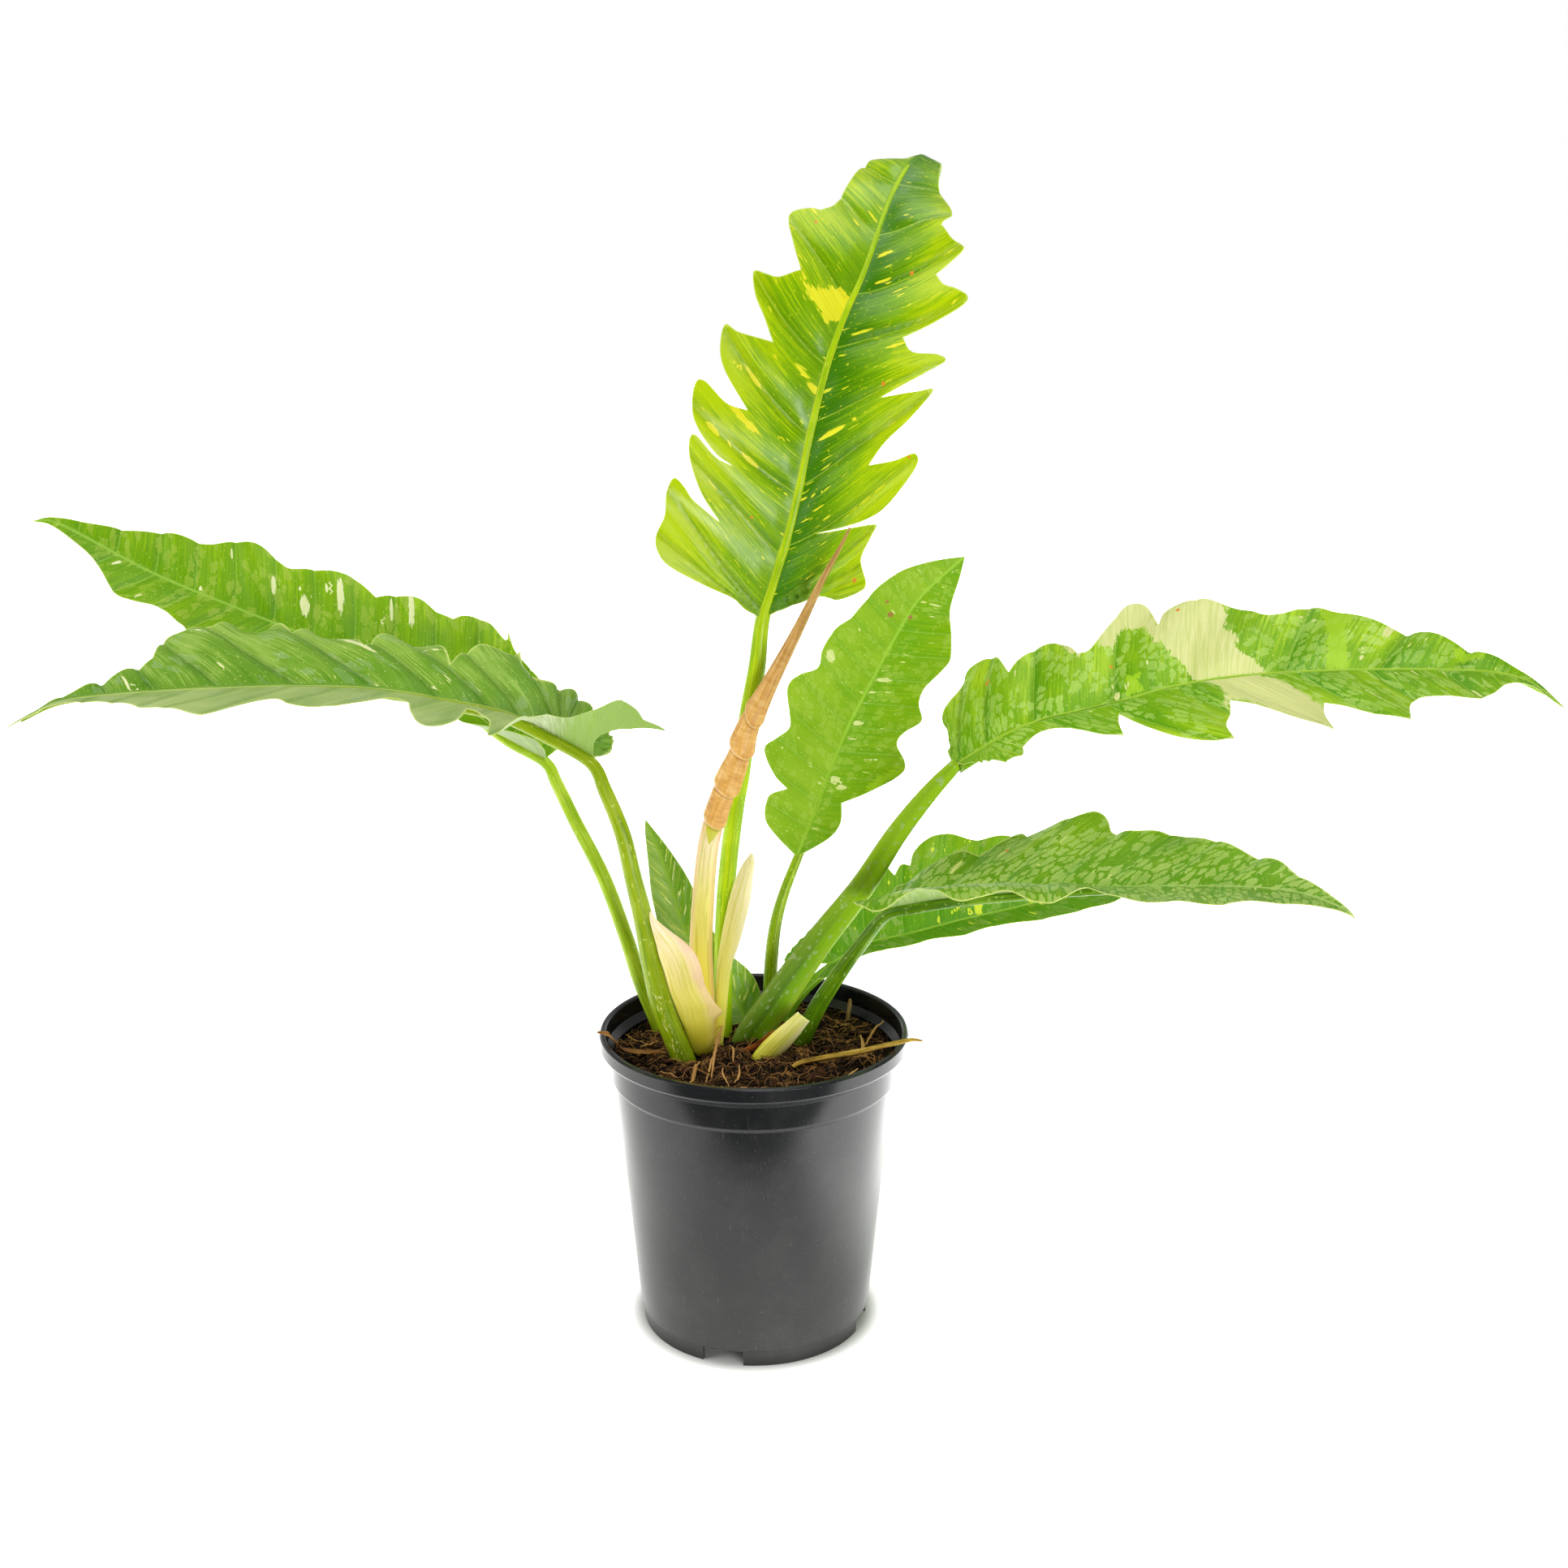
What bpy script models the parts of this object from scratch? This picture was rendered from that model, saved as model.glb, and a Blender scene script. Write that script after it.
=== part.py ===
"""Philodendron 'Ring of Fire' in its black nursery pot, one solid for each physical piece.

Lengths are typed in millimetres and turned to metres where a mesh is made. +Z is up, the origin lies on
the pot's axis at the height of its foot, and -Y is the side that the plant is seen from.
"""
import math

import bmesh
import bpy
import numpy as np
from mathutils import Matrix, Vector
from mathutils.geometry import delaunay_2d_cdt

MM = 0.001

# Pot
RIM_RADIUS = 82.5
POT_HEIGHT = 166.5
LIP_HEIGHT = 8.0
BAND_RADIUS = 76.4
BAND_BOTTOM = 142.0
WALL_TOP_RADIUS = 74.4
WALL_BOTTOM_RADIUS = 63.0
FOOT_RADIUS = 61.2
FOOT_HEIGHT = 9.0
WALL = 1.3
FLOOR_TOP = 11.0
POT_STEPS = 48
DRAIN_SLOTS = 4
DRAIN_WIDTH = 22.0
DRAIN_HEIGHT = 8.0
DRAIN_FIRST_ANGLE = -105.5

# Soil
SOIL_LEVEL = 152.0
SOIL_LUMP = 1.6
SOIL_STEPS = 32
FIT_GAP = 0.35

# Plant
BLADE_THICKNESS = 0.8
MARGIN_STEP = 10.0
MIDRIB_STEP = 16.0
INNER_STEP = 17.0
WAVE_HEIGHT = 1.6
WAVE_LENGTH = 46.0
TIP_TURN = 0.55
STALK_STEP = 20.0
STALK_RESOLUTION = 2
SHEATH_SIDES = 8

# The stem lies just under the soil; every stalk and sheath is seated on it.
STEM = [(-54, 20, 131, 8), (-38, 13, 130, 11), (-20, 10, 129, 12), (0, 14, 129, 12), (18, 21, 130, 11),
        (29, 25, 131, 8)]
ROOTS = [
    [(-44, 15, 126, 2.2), (-50, 22, 100, 2.0), (-42, 30, 70, 1.6), (-46, 26, 44, 1.2)],
    [(-30, 9, 124, 2.4), (-34, -10, 98, 2.0), (-26, -24, 70, 1.6), (-30, -34, 46, 1.2)],
    [(-10, 12, 122, 2.4), (-14, 6, 92, 2.1), (-4, -4, 62, 1.7), (-10, -2, 34, 1.3)],
    [(6, 16, 122, 2.4), (10, 34, 96, 2.0), (2, 44, 70, 1.6), (8, 40, 44, 1.2)],
    [(20, 20, 124, 2.2), (34, 12, 100, 1.9), (40, -6, 72, 1.5), (34, -14, 48, 1.2)],
]

# Each stalk runs from its seat on the stem to the joint of its blade: x, y, z and radius. A midrib is the
# line that the blade hangs on. The blade's upper side faces "face", and turns to "tip_face" near the tip.
# A fold station gives the distance along the midrib, the angle at which that half of the blade leaves it,
# and how much it curls for each millimetre further out. A margin point gives the distance along the midrib,
# the distance out from it, and "cut" where the margin turns sharply.
LEAVES = {
    "leaf_top_upright": dict(
        colour="#63A80F",
        stalk=[(-15, 17, 131, 4.6), (-17, 20, 151, 4.9), (-17, 18, 190, 4.9), (-15, 15, 237, 4.8),
               (-10, 11, 283, 4.7), (-6.5, 8, 304, 4.7), (-2.8, 6, 335, 4.6), (2, 3, 361, 4.5),
               (5, 0, 387, 4.1)],
        midrib=[(5, 0, 387), (20, -6, 439), (30, -4, 486), (41, 4, 525), (56, 18, 559), (70, 42, 595),
                (82, 64, 613), (91, 84, 614), (98, 104, 604)],
        face=(0, -1, 0.15),
        tip_face=(-0.3, -0.45, 0.85),
        left_folds=[(0, 12, 0.0), (214, 12, 0.0), (262, -14, 0.0)],
        right_folds=[(0, 12, 0.0), (214, 12, 0.0), (250, -28, 0.0)],
        left=[(4, 10), (8, 19), (11, 35), (15, 52), (20, 60), (28, 64), (42, 62), (55, 64), (63, 62),
              (59, 56), (53, 50), (45, 35, "cut"), (57, 47), (73, 56), (84, 58), (86, 55), (78, 44),
              (75, 35, "cut"), (80, 45), (93, 58), (106, 61), (109, 57), (102, 44), (101, 33, "cut"),
              (114, 47), (123, 53), (133, 54), (132, 46), (133, 29, "cut"), (142, 37), (149, 45),
              (157, 50), (158, 44), (159, 37), (166, 29, "cut"), (175, 36), (190, 43), (198, 44),
              (203, 36), (204, 30, "cut"), (210, 25), (220, 23), (232, 22), (250, 23), (268, 21),
              (288, 13)],
        right=[(6, 5), (14, 14), (23, 25), (24, 34), (35, 45), (46, 39), (57, 41), (62, 42), (59, 32),
               (51, 14, "cut"), (63, 36), (73, 46), (92, 55), (99, 53), (93, 44), (88, 32, "cut"),
               (102, 38), (116, 47), (132, 54), (129, 46), (122, 30, "cut"), (132, 40), (140, 47),
               (153, 55), (155, 50), (151, 38), (157, 31, "cut"), (170, 43), (181, 54), (184, 47),
               (185, 40), (189, 35, "cut"), (197, 41), (204, 45), (206, 38), (212, 31, "cut"), (222, 33),
               (231, 30), (244, 22), (262, 15), (286, 7)],
    ),
    "leaf_left_back": dict(
        colour="#4E9A1E",
        stalk=[(-47, 20, 131, 4.4), (-51, 27, 151, 4.6), (-62.5, 30, 181, 4.3), (-70.5, 34, 206, 4.1),
               (-82, 38, 238, 3.9), (-97.5, 42, 269.5, 3.7), (-107, 44, 290, 3.5), (-113, 45, 303, 3.4)],
        midrib=[(-113, 45, 303), (-137, 55, 314), (-164, 66, 330), (-225, 86, 353), (-286, 102, 374),
                (-338, 114, 393), (-391, 124, 419), (-408, 126, 421)],
        face=(0.05, -0.62, 0.78),
        left_folds=[(0, 75, 0.0), (40, 50, 0.0), (100, 42, 0.0), (190, 5, 0.0)],
        right_folds=[(0, 18, 0.0), (330, 18, 0.0)],
        left=[(-2, 8), (-2, 20), (6, 30), (16, 33), (40, 33), (64, 36), (76, 30, "cut"), (92, 38),
              (118, 38), (140, 34), (150, 28, "cut"), (168, 36), (190, 32), (206, 32), (218, 26, "cut"),
              (222, 25), (236, 20), (251, 24), (262, 24), (284, 11), (312, 4), (324, 2)],
        right=[(-4, 12), (0, 24), (14, 33), (34, 37), (50, 41), (59, 50, "cut"), (58, 45), (69, 50),
               (80, 46), (86, 41, "cut"), (98, 43), (111, 46), (123, 40), (131, 35, "cut"), (147, 42),
               (157, 42), (170, 37), (183, 33), (194, 36), (207, 39), (220, 35), (233, 29), (257, 25),
               (268, 20), (291, 11), (318, 3)],
    ),
    "leaf_left_front": dict(
        colour="#5C9E35",
        stalk=[(-39, -4, 131, 5.6), (-36.3, -11, 148, 6), (-39.2, -12, 158, 6.1), (-47.7, -14, 183, 6),
               (-52.5, -17, 208, 5.7), (-56.5, -19, 233, 5.2), (-61.5, -20, 257, 4.6),
               (-66.5, -19, 280, 4.2), (-75, -17, 302, 3.8), (-81, -15, 319, 3.6)],
        midrib=[(-81, -15, 319), (-118, -12, 339), (-148, -8, 346), (-202, 0, 352), (-279, 12, 349),
                (-357, 28, 340), (-383, 35, 330), (-402, 40, 320)],
        face=(0, 0, 1),
        left_folds=[(-30, 80, 0.0), (0, 70, 0.0), (30, 50, 0.0), (44, 0, 0.0), (56, -14, 0.0),
                    (90, -10, 0.0), (160, -6, 0.0)],
        right_folds=[(0, 26, 0.0), (200, 28, 0.0)],
        left=[(3, 9), (0, 18), (-8, 25), (-19, 30), (-26, 34, "cut"), (-15, 33), (-7, 37), (2, 40),
              (10, 32), (20, 17), (30, 14), (36, 16), (39, 28), (44, 36), (50, 30), (54, 14), (62, 7),
              (68, 6, "cut"), (69, 18), (75, 31), (84, 33), (92, 22), (97, 12, "cut"), (108, 10),
              (121, 21), (139, 29), (152, 28), (164, 23), (178, 30), (190, 36), (201, 38), (222, 31),
              (241, 22), (276, 9), (308, 4), (328, 2.4)],
        right=[(-6, 8), (-4, 18), (6, 27), (22, 34), (35, 31), (44, 33), (53, 40), (58, 50, "cut"),
               (64, 47), (78, 44), (88, 28, "cut"), (99, 43), (116, 46), (130, 42), (134, 32, "cut"),
               (148, 48), (168, 53), (178, 46, "cut"), (191, 58), (215, 68), (226, 52, "cut"), (238, 53),
               (252, 49), (251, 26, "cut"), (262, 19), (275, 12), (290, 6), (314, 3), (330, 1.6)],
    ),
    "leaf_centre_right": dict(
        colour="#4F9C22",
        stalk=[(7, 27, 131, 3.8), (7.6, 33, 151, 3.9), (8.8, 36, 188, 3.7), (11.3, 38, 211, 3.3),
               (16.2, 41, 229, 2.9), (22.5, 45, 248, 2.6)],
        midrib=[(23, 45, 248), (31, 48, 268), (48, 60, 310), (61, 68, 335), (81, 80, 370), (93, 88, 386),
                (116, 98, 405)],
        face=(-0.25, -0.85, 0.5),
        left_folds=[(0, 6, 0.0), (190, 6, 0.0)],
        right_folds=[(0, 6, 0.0), (190, 6, 0.0)],
        left=[(5, 13), (12, 24), (25, 27), (33, 19, "cut"), (38, 29), (49, 39), (56, 36), (64, 30),
              (72, 34), (82, 40), (90, 38), (98, 31), (108, 33), (120, 32), (132, 27),
              (148, 24), (166, 17), (182, 8)],
        right=[(8, 7), (17, 14), (26, 17), (36, 13, "cut"), (46, 25), (62, 39), (70, 39), (78, 31),
               (86, 31), (96, 37), (104, 31), (114, 30), (124, 34), (134, 35), (148, 27), (164, 18), (180, 9)],
    ),
    "leaf_right_variegated": dict(
        colour="#4F9E22",
        midrib=[(106, 5, 311), (139, 0, 332), (183, -5, 345), (223, -10, 357), (267, -15, 363),
                (331, -24, 366.5), (378, -29, 364), (404, -31, 348)],
        face=(0, 0, 1),
        left_folds=[(0, 34, 0.0), (60, 34, 0.0), (200, 30, 0.0)],
        right_folds=[(0, -16, 0.0), (70, -20, 0.0), (300, -20, 0.0)],
        left=[(-3, 6), (1, 21), (1, 35), (16, 53), (22, 61), (31, 60), (37, 51), (40, 37, "cut"),
              (45, 44), (53, 51), (63, 54), (70, 47), (74, 37, "cut"), (80, 38), (89, 48), (100, 60),
              (108, 66), (115, 65), (118, 46, "cut"), (122, 56), (131, 58), (145, 56), (160, 50),
              (167, 42), (175, 42), (186, 48), (197, 50), (212, 38), (229, 32), (244, 26), (259, 19),
              (273, 12), (286, 6), (304, 2.6), (311, 1.4)],
        right=[(4, 6), (16, 16), (28, 28), (36, 26), (37, 20, "cut"), (48, 12), (62, 13), (78, 26),
               (88, 32, "cut"), (87, 20), (88, 11, "cut"), (98, 26), (112, 42), (129, 56),
               (140, 62, "cut"), (138, 46), (142, 30), (143, 22, "cut"), (157, 30), (178, 49),
               (191, 55, "cut"), (188, 40), (189, 29, "cut"), (199, 32), (213, 42), (227, 51, "cut"),
               (229, 34), (234, 26), (247, 26), (259, 27), (270, 21), (279, 10), (290, 4),
               (304, 2.6), (311, 1.4)],
    ),
    "leaf_right_front": dict(
        colour="#4C9424",
        stalk=[(22, 17, 131, 4.6), (25, 12, 151, 5.0), (33, 7, 173, 4.8), (44, 2, 194, 4.2),
               (56, -2, 213, 3.6), (69, -5, 234, 3.2)],
        midrib=[(69, -5, 234), (97, -20, 245), (151, -49, 259.5), (206, -80, 271.5), (249, -109, 279),
                (271, -127, 276.5), (277, -132, 272.5)],
        face=(0, 0, 1),
        left_folds=[(0, 22, 0.0), (250, 22, 0.0)],
        right_folds=[(0, 35, -0.5), (60, 28, -0.3), (120, 3, 0.0), (250, 0, 0.0)],
        left=[(-4, 10), (2, 20), (14, 30), (32, 38), (44, 36, "cut"), (54, 48), (62, 55), (66, 52, "cut"),
              (76, 58), (91, 58), (102, 62), (108, 60), (112, 52), (116, 48, "cut"), (128, 43), (140, 45),
              (150, 43), (168, 36), (180, 31), (192, 25), (205, 20), (217, 12), (235, 5)],
        right=[(-10, 8), (-16, 20), (-6, 30), (12, 33), (32, 29), (44, 26, "cut"), (54, 36), (70, 38),
               (84, 27, "cut"), (100, 36), (116, 35), (122, 20, "cut"), (140, 27), (162, 36), (182, 33),
               (206, 28), (220, 21), (232, 11), (243, 4)],
    ),
    "leaf_right_back": dict(
        colour="#5AA021",
        stalk=[(15, 33, 131, 3.3), (16, 44, 151, 3.4), (26, 47, 168, 3.2), (42, 50, 184, 2.9)],
        midrib=[(42, 50, 184), (63, 58, 193), (87, 66, 196), (118, 76, 201), (150, 86, 205),
                (186, 96, 211), (221, 106, 215)],
        face=(0, -0.3, 1),
        left_folds=[(0, 20, 0.0), (190, 20, 0.0)],
        right_folds=[(0, 14, 0.0), (190, 14, 0.0)],
        left=[(-12, 8), (-21, 15), (-7, 22), (18, 30), (34, 39), (52, 48), (57, 42, "cut"), (64, 49),
              (68, 45, "cut"), (74, 54), (84, 58), (100, 56), (116, 53), (134, 45), (154, 34), (174, 18)],
        right=[(-10, 5), (-10, 10), (4, 11), (14, 10), (36, 15), (55, 14), (74, 20), (92, 17), (106, 20),
               (120, 24), (147, 24), (164, 25), (180, 13)],
    ),
    "leaf_small_young": dict(
        colour="#4C9A24",
        stalk=[(-4, 22, 131, 2.4), (-3, 22, 148, 2.4), (-4, 24.5, 155, 2.3), (-5, 27, 160, 2.1)],
        midrib=[(-5, 27, 160), (-13, 32, 174), (-27, 37, 190), (-39, 43, 207), (-44, 47, 222),
                (-51.5, 53, 244), (-60.5, 60, 265)],
        face=(0.1, -1, 0.3),
        left_folds=[(0, 8, 0.0), (130, 8, 0.0)],
        right_folds=[(0, 8, 0.0), (130, 8, 0.0)],
        left=[(6, 8), (20, 12), (50, 13), (80, 12), (100, 8), (118, 3)],
        right=[(7, 6), (16, 11), (30, 12), (60, 13), (84, 11), (104, 6), (118, 2)],
    ),
}

# Lofts: x, y, z, width and thickness of each section, with "face" square to the width.
FLAT_STALK = [(-3, 11, 131, 12, 6), (-4, 9, 152, 18, 7.5), (13, 10, 179, 18, 7.5), (35, 12, 211, 15.5, 7.5),
              (57, 11, 241, 13.5, 7), (75, 9, 271, 11.5, 6.6), (91.5, 7, 294, 9.5, 6.2),
              (106, 5, 311, 7, 5.6)]
NEW_LEAF = [(-24, 9, 131, 8.6, 8.6), (-25, 8, 154, 10.4, 9.6), (-27.5, 2, 197, 12, 11),
            (-27.5, -1, 221, 12, 11.4), (-24, -4, 264, 11, 11), (-18.5, -6, 288, 11, 11),
            (-11, -8, 308, 12.2, 12), (-7, -8.5, 318, 11.3, 11.3), (-2, -9, 334, 10.3, 10.3),
            (8.5, -11, 356, 8.2, 8.2), (21.5, -14, 382, 5.8, 5.8), (35, -20, 411, 3.4, 3.4),
            (42, -25, 425, 2.2, 2.2), (48, -31, 438, 1.2, 1.2)]
SHEATHS = {
    "sheath_large": dict(
        colour="#DDD28C",
        face=(0.42, -0.91, 0),
        sections=[(-25.5, 0, 132, 10, 2.6), (-24.7, -3, 150, 11, 2.8), (-27.2, -8, 162, 15, 3),
                  (-27.8, -12.5, 175, 21, 3), (-31.9, -15.9, 189.4, 21, 2.8), (-35.5, -19.2, 203, 20.5, 2.4),
                  (-39.5, -21.5, 216, 18.5, 2), (-46.6, -23.1, 227.7, 10, 1.6), (-52, -25, 239.5, 3, 1.2)]),
    "sheath_tall": dict(
        colour="#DDDC9A",
        sections=[(-15, 5, 132, 4, 2.6), (-16.5, 6, 153, 5, 2.8), (-17, 8, 180, 6.8, 3),
                  (-15.5, 8.5, 199, 8.4, 3), (-12.5, 8, 212, 10.2, 2.8), (-8, 7, 234, 11.2, 2.6),
                  (-4.5, 7, 248, 8.6, 2.2), (-1, 7, 261, 2.4, 1.2)]),
    "sheath_short": dict(
        colour="#D9DF8E",
        sections=[(2, 1, 132, 8, 2.4), (2, -7, 149, 12, 2.8), (12, -8, 159, 11.5, 2.8), (26, -9, 175, 9, 2.4)]),
}
DRY_STRIP = [(-10, -1, 146, 3, 1), (-6, -1, 152, 3.4, 1.2), (2, -2, 157, 3.6, 1.2), (11, -2.5, 164, 3.2, 1),
             (22, -3, 168, 1.6, 0.8)]
DRY_STALK = [(16, -22, 146, 2, 2), (22, -21, 153.5, 3.6, 2.6), (36, -20, 157, 4.2, 2.8),
             (56, -23, 162, 4.8, 2.8), (73, -29, 169, 4, 2.4), (82, -31, 172, 2.6, 1.8), (88, -30, 171, 1, 1)]
DRY_SCRAP = [(-82, -17, 170.5, 2, 1), (-76, -19, 170, 7, 1.2), (-70, -16, 161, 7, 1.2),
             (-60, -10, 156.5, 7, 1.2), (-48, -4, 153.5, 3, 1), (-44, -2, 146, 2, 1)]
ROOT_TIP = [(52, 49, 146, 1.2), (52, 49, 153, 1.2), (52.5, 49, 158, 1.1), (53, 49.5, 163, 0.8)]


def clear_scene():
    for item in list(bpy.data.objects):
        bpy.data.objects.remove(item, do_unlink=True)


def new_collection(name):
    group = bpy.data.collections.new(name)
    bpy.context.scene.collection.children.link(group)
    return group


def linear(hex_colour):
    """The linear RGBA value of an sRGB hex colour."""
    channels = [int(hex_colour[i:i + 2], 16) / 255 for i in (1, 3, 5)]
    return [c / 12.92 if c <= 0.04045 else ((c + 0.055) / 1.055) ** 2.4 for c in channels] + [1.0]


def new_material(name, hex_colour, roughness, metallic=0.0):
    material = bpy.data.materials.new(name)
    material.use_nodes = True
    shader = material.node_tree.nodes["Principled BSDF"]
    shader.inputs["Base Color"].default_value = linear(hex_colour)
    shader.inputs["Roughness"].default_value = roughness
    shader.inputs["Metallic"].default_value = metallic
    material.diffuse_color = linear(hex_colour)
    return material


def new_object(name, mesh, group, material=None):
    item = bpy.data.objects.new(name, mesh)
    group.objects.link(item)
    if material:
        mesh.materials.append(material)
    return item


def hide_as_cutter(item):
    item.hide_render = True
    item.display_type = "WIRE"


def smooth_path(points, step):
    """Points about one step apart on a Catmull-Rom curve through the given ones, each of any length."""
    knots = np.array(points, float)
    knots = np.vstack([2 * knots[0] - knots[1], knots, 2 * knots[-1] - knots[-2]])
    path = []
    for before, start, end, after in zip(knots, knots[1:], knots[2:], knots[3:]):
        span = np.linalg.norm((end - start)[:3])
        count = max(1, round(span / step))
        for t in np.arange(count) / count:
            path.append(0.5 * (2 * start + (end - before) * t
                               + (2 * before - 5 * start + 4 * end - after) * t ** 2
                               + (3 * start - before - 3 * end + after) * t ** 3))
    path.append(knots[-2])
    return np.array(path)


def tube(name, points, group, material=None, grow=0.0, step=STALK_STEP):
    """A round tube with closed ends along x, y, z, radius points, made as a curve and turned to a mesh."""
    path = smooth_path(points, step)
    data = bpy.data.curves.new(name + "_curve", "CURVE")
    data.dimensions = "3D"
    data.bevel_depth = MM
    data.bevel_resolution = STALK_RESOLUTION
    data.use_fill_caps = True
    spline = data.splines.new("POLY")
    spline.points.add(len(path) - 1)
    for knot, (x, y, z, radius) in zip(spline.points, path):
        knot.co = (x * MM, y * MM, z * MM, 1)
        knot.radius = radius + grow
    curve = bpy.data.objects.new(name + "_curve", data)
    group.objects.link(curve)
    evaluated = curve.evaluated_get(bpy.context.evaluated_depsgraph_get())
    mesh = bpy.data.meshes.new_from_object(evaluated)
    mesh.name = name
    item = new_object(name, mesh, group, material)
    item.matrix_world = curve.matrix_world
    bpy.data.objects.remove(curve)
    work = bmesh.new()
    work.from_mesh(mesh)
    bmesh.ops.remove_doubles(work, verts=work.verts, dist=0.00001)
    bmesh.ops.recalc_face_normals(work, faces=work.faces)
    work.to_mesh(mesh)
    work.free()
    mesh.shade_smooth()
    return item


def loft(name, sections, group, material=None, grow=0.0, face=(0, -1, 0), step=STALK_STEP):
    """A closed loft through oval sections of changing width and thickness, for sheaths and flat stalks."""
    path = smooth_path(sections, step)
    tangents = np.gradient(path[:, :3], axis=0)
    front = Vector(face).normalized()
    work = bmesh.new()
    rings = []
    for (x, y, z, width, thickness), tangent in zip(path, tangents):
        along = Vector(tangent).normalized()
        side = along.cross(front).normalized()
        ring = []
        for i in range(SHEATH_SIDES):
            turn = 2 * math.pi * i / SHEATH_SIDES
            across = (width / 2 + grow) * math.cos(turn)
            deep = (thickness / 2 + grow) * math.sin(turn)
            ring.append(work.verts.new((Vector((x, y, z)) + side * across + front * deep) * MM))
        rings.append(ring)
    for lower, upper in zip(rings, rings[1:]):
        for i in range(SHEATH_SIDES):
            j = (i + 1) % SHEATH_SIDES
            work.faces.new((lower[i], lower[j], upper[j], upper[i]))
    work.faces.new(rings[0][::-1])
    work.faces.new(rings[-1])
    bmesh.ops.recalc_face_normals(work, faces=work.faces)
    mesh = bpy.data.meshes.new(name)
    work.to_mesh(mesh)
    work.free()
    mesh.shade_smooth()
    return new_object(name, mesh, group, material)


def add_boolean(item, operation, other):
    modifier = item.modifiers.new(operation.title(), "BOOLEAN")
    modifier.operation = operation
    modifier.solver = "EXACT"
    if isinstance(other, bpy.types.Collection):
        modifier.operand_type = "COLLECTION"
        modifier.collection = other
    else:
        modifier.object = other
    return modifier


class Blade:
    """Turns a place in the flat blade, along the midrib and out from it, into a point in space."""

    def __init__(self, leaf):
        self.line = smooth_path(leaf["midrib"], 4.0)
        self.reach = np.append(0.0, np.cumsum(np.linalg.norm(np.diff(self.line, axis=0), axis=1)))
        self.length = self.reach[-1]
        self.tangents = np.gradient(self.line, self.reach, axis=0)
        self.face = np.array(leaf["face"], float)
        self.tip_face = np.array(leaf.get("tip_face", leaf["face"]), float)
        self.folds = {-1: np.array(leaf["left_folds"], float), 1: np.array(leaf["right_folds"], float)}

    def midrib_frame(self, along):
        inside = min(max(along, 0.0), self.length)
        centre = np.array([np.interp(inside, self.reach, self.line[:, k]) for k in range(3)])
        tangent = np.array([np.interp(inside, self.reach, self.tangents[:, k]) for k in range(3)])
        tangent /= np.linalg.norm(tangent)
        turn = min(max((along / self.length - TIP_TURN) / (1 - TIP_TURN), 0.0), 1.0)
        face = self.face * (1 - turn) + self.tip_face * turn
        normal = face - face.dot(tangent) * tangent
        normal /= np.linalg.norm(normal)
        return centre + tangent * (along - inside), tangent, normal

    def point(self, along, out):
        centre, tangent, normal = self.midrib_frame(along)
        side = 1 if out > 0 else -1
        stations = self.folds[side]
        fold = math.radians(np.interp(along, stations[:, 0], stations[:, 1]))
        curl = math.radians(np.interp(along, stations[:, 0], stations[:, 2]))
        reach = abs(out)
        middle = fold + curl * reach / 2
        wave = WAVE_HEIGHT * math.sin(2 * math.pi * (along - 0.6 * reach) / WAVE_LENGTH) * (reach / 40) ** 2
        across = reach * math.cos(middle)
        lift = reach * math.sin(middle) + wave
        return Vector(centre + np.cross(tangent, normal) * side * across + normal * lift)


def margin(points, length):
    """The rounded outline of one half from joint to tip, broken where a point is marked as a cut."""
    knots = [(0.0, 0.0, "cut")] + [tuple(p) if len(p) == 3 else tuple(p) + ("",) for p in points]
    knots.append((length, 0.0, "cut"))
    breaks = [i for i, knot in enumerate(knots) if knot[2]]
    outline = []
    for first, last in zip(breaks, breaks[1:]):
        piece = smooth_path([knot[:2] for knot in knots[first:last + 1]], MARGIN_STEP)
        outline.extend(piece[:-1])
    return outline


def inside_margin(point, polygon):
    """Whether the point is in the polygon and at least half a step from its edge."""
    x, y = point
    inside = False
    for (x0, y0), (x1, y1) in zip(polygon, polygon[1:] + polygon[:1]):
        if (y0 > y) != (y1 > y) and x < x0 + (y - y0) * (x1 - x0) / (y1 - y0):
            inside = not inside
        edge = Vector((x1 - x0, y1 - y0))
        t = max(0.0, min(1.0, ((x - x0) * edge.x + (y - y0) * edge.y) / max(edge.length_squared, 1e-9)))
        if math.hypot(x - x0 - t * edge.x, y - y0 - t * edge.y) < INNER_STEP / 2:
            return False
    return inside


def blade_mesh(name, leaf, blade):
    """The blade as one sheet of triangles, with an edge along the midrib."""
    left = [(-out, along) for along, out in margin(leaf["left"], blade.length)]
    right = [(out, along) for along, out in margin(leaf["right"], blade.length)]
    tip = (0.0, blade.length)
    outline = left[:1] + right[1:] + [tip] + left[:0:-1]
    count = round(blade.length / MIDRIB_STEP)
    rib = [(0.0, blade.length * i / count) for i in range(1, count)]
    inner = []
    row_height = INNER_STEP * math.sqrt(3) / 2
    for row in range(-4, int(blade.length / row_height) + 1):
        for column in range(-8, 9):
            spot = ((column + 0.5 * (row % 2)) * INNER_STEP, row * row_height)
            if abs(spot[0]) > INNER_STEP * 0.4 and inside_margin(spot, outline):
                inner.append(spot)
    flat = [Vector(p) for p in outline + rib + inner]
    ring = len(outline)
    edges = [(i, (i + 1) % ring) for i in range(ring)]
    spine = [0] + list(range(ring, ring + len(rib))) + [outline.index(tip)]
    edges += list(zip(spine, spine[1:]))
    verts, _, faces, *_ = delaunay_2d_cdt(flat, edges, [], 1, 0.01)
    mesh = bpy.data.meshes.new(name)
    mesh.from_pydata([blade.point(v.y, v.x) * MM for v in verts], [], faces)
    mesh.update()
    return mesh


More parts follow.
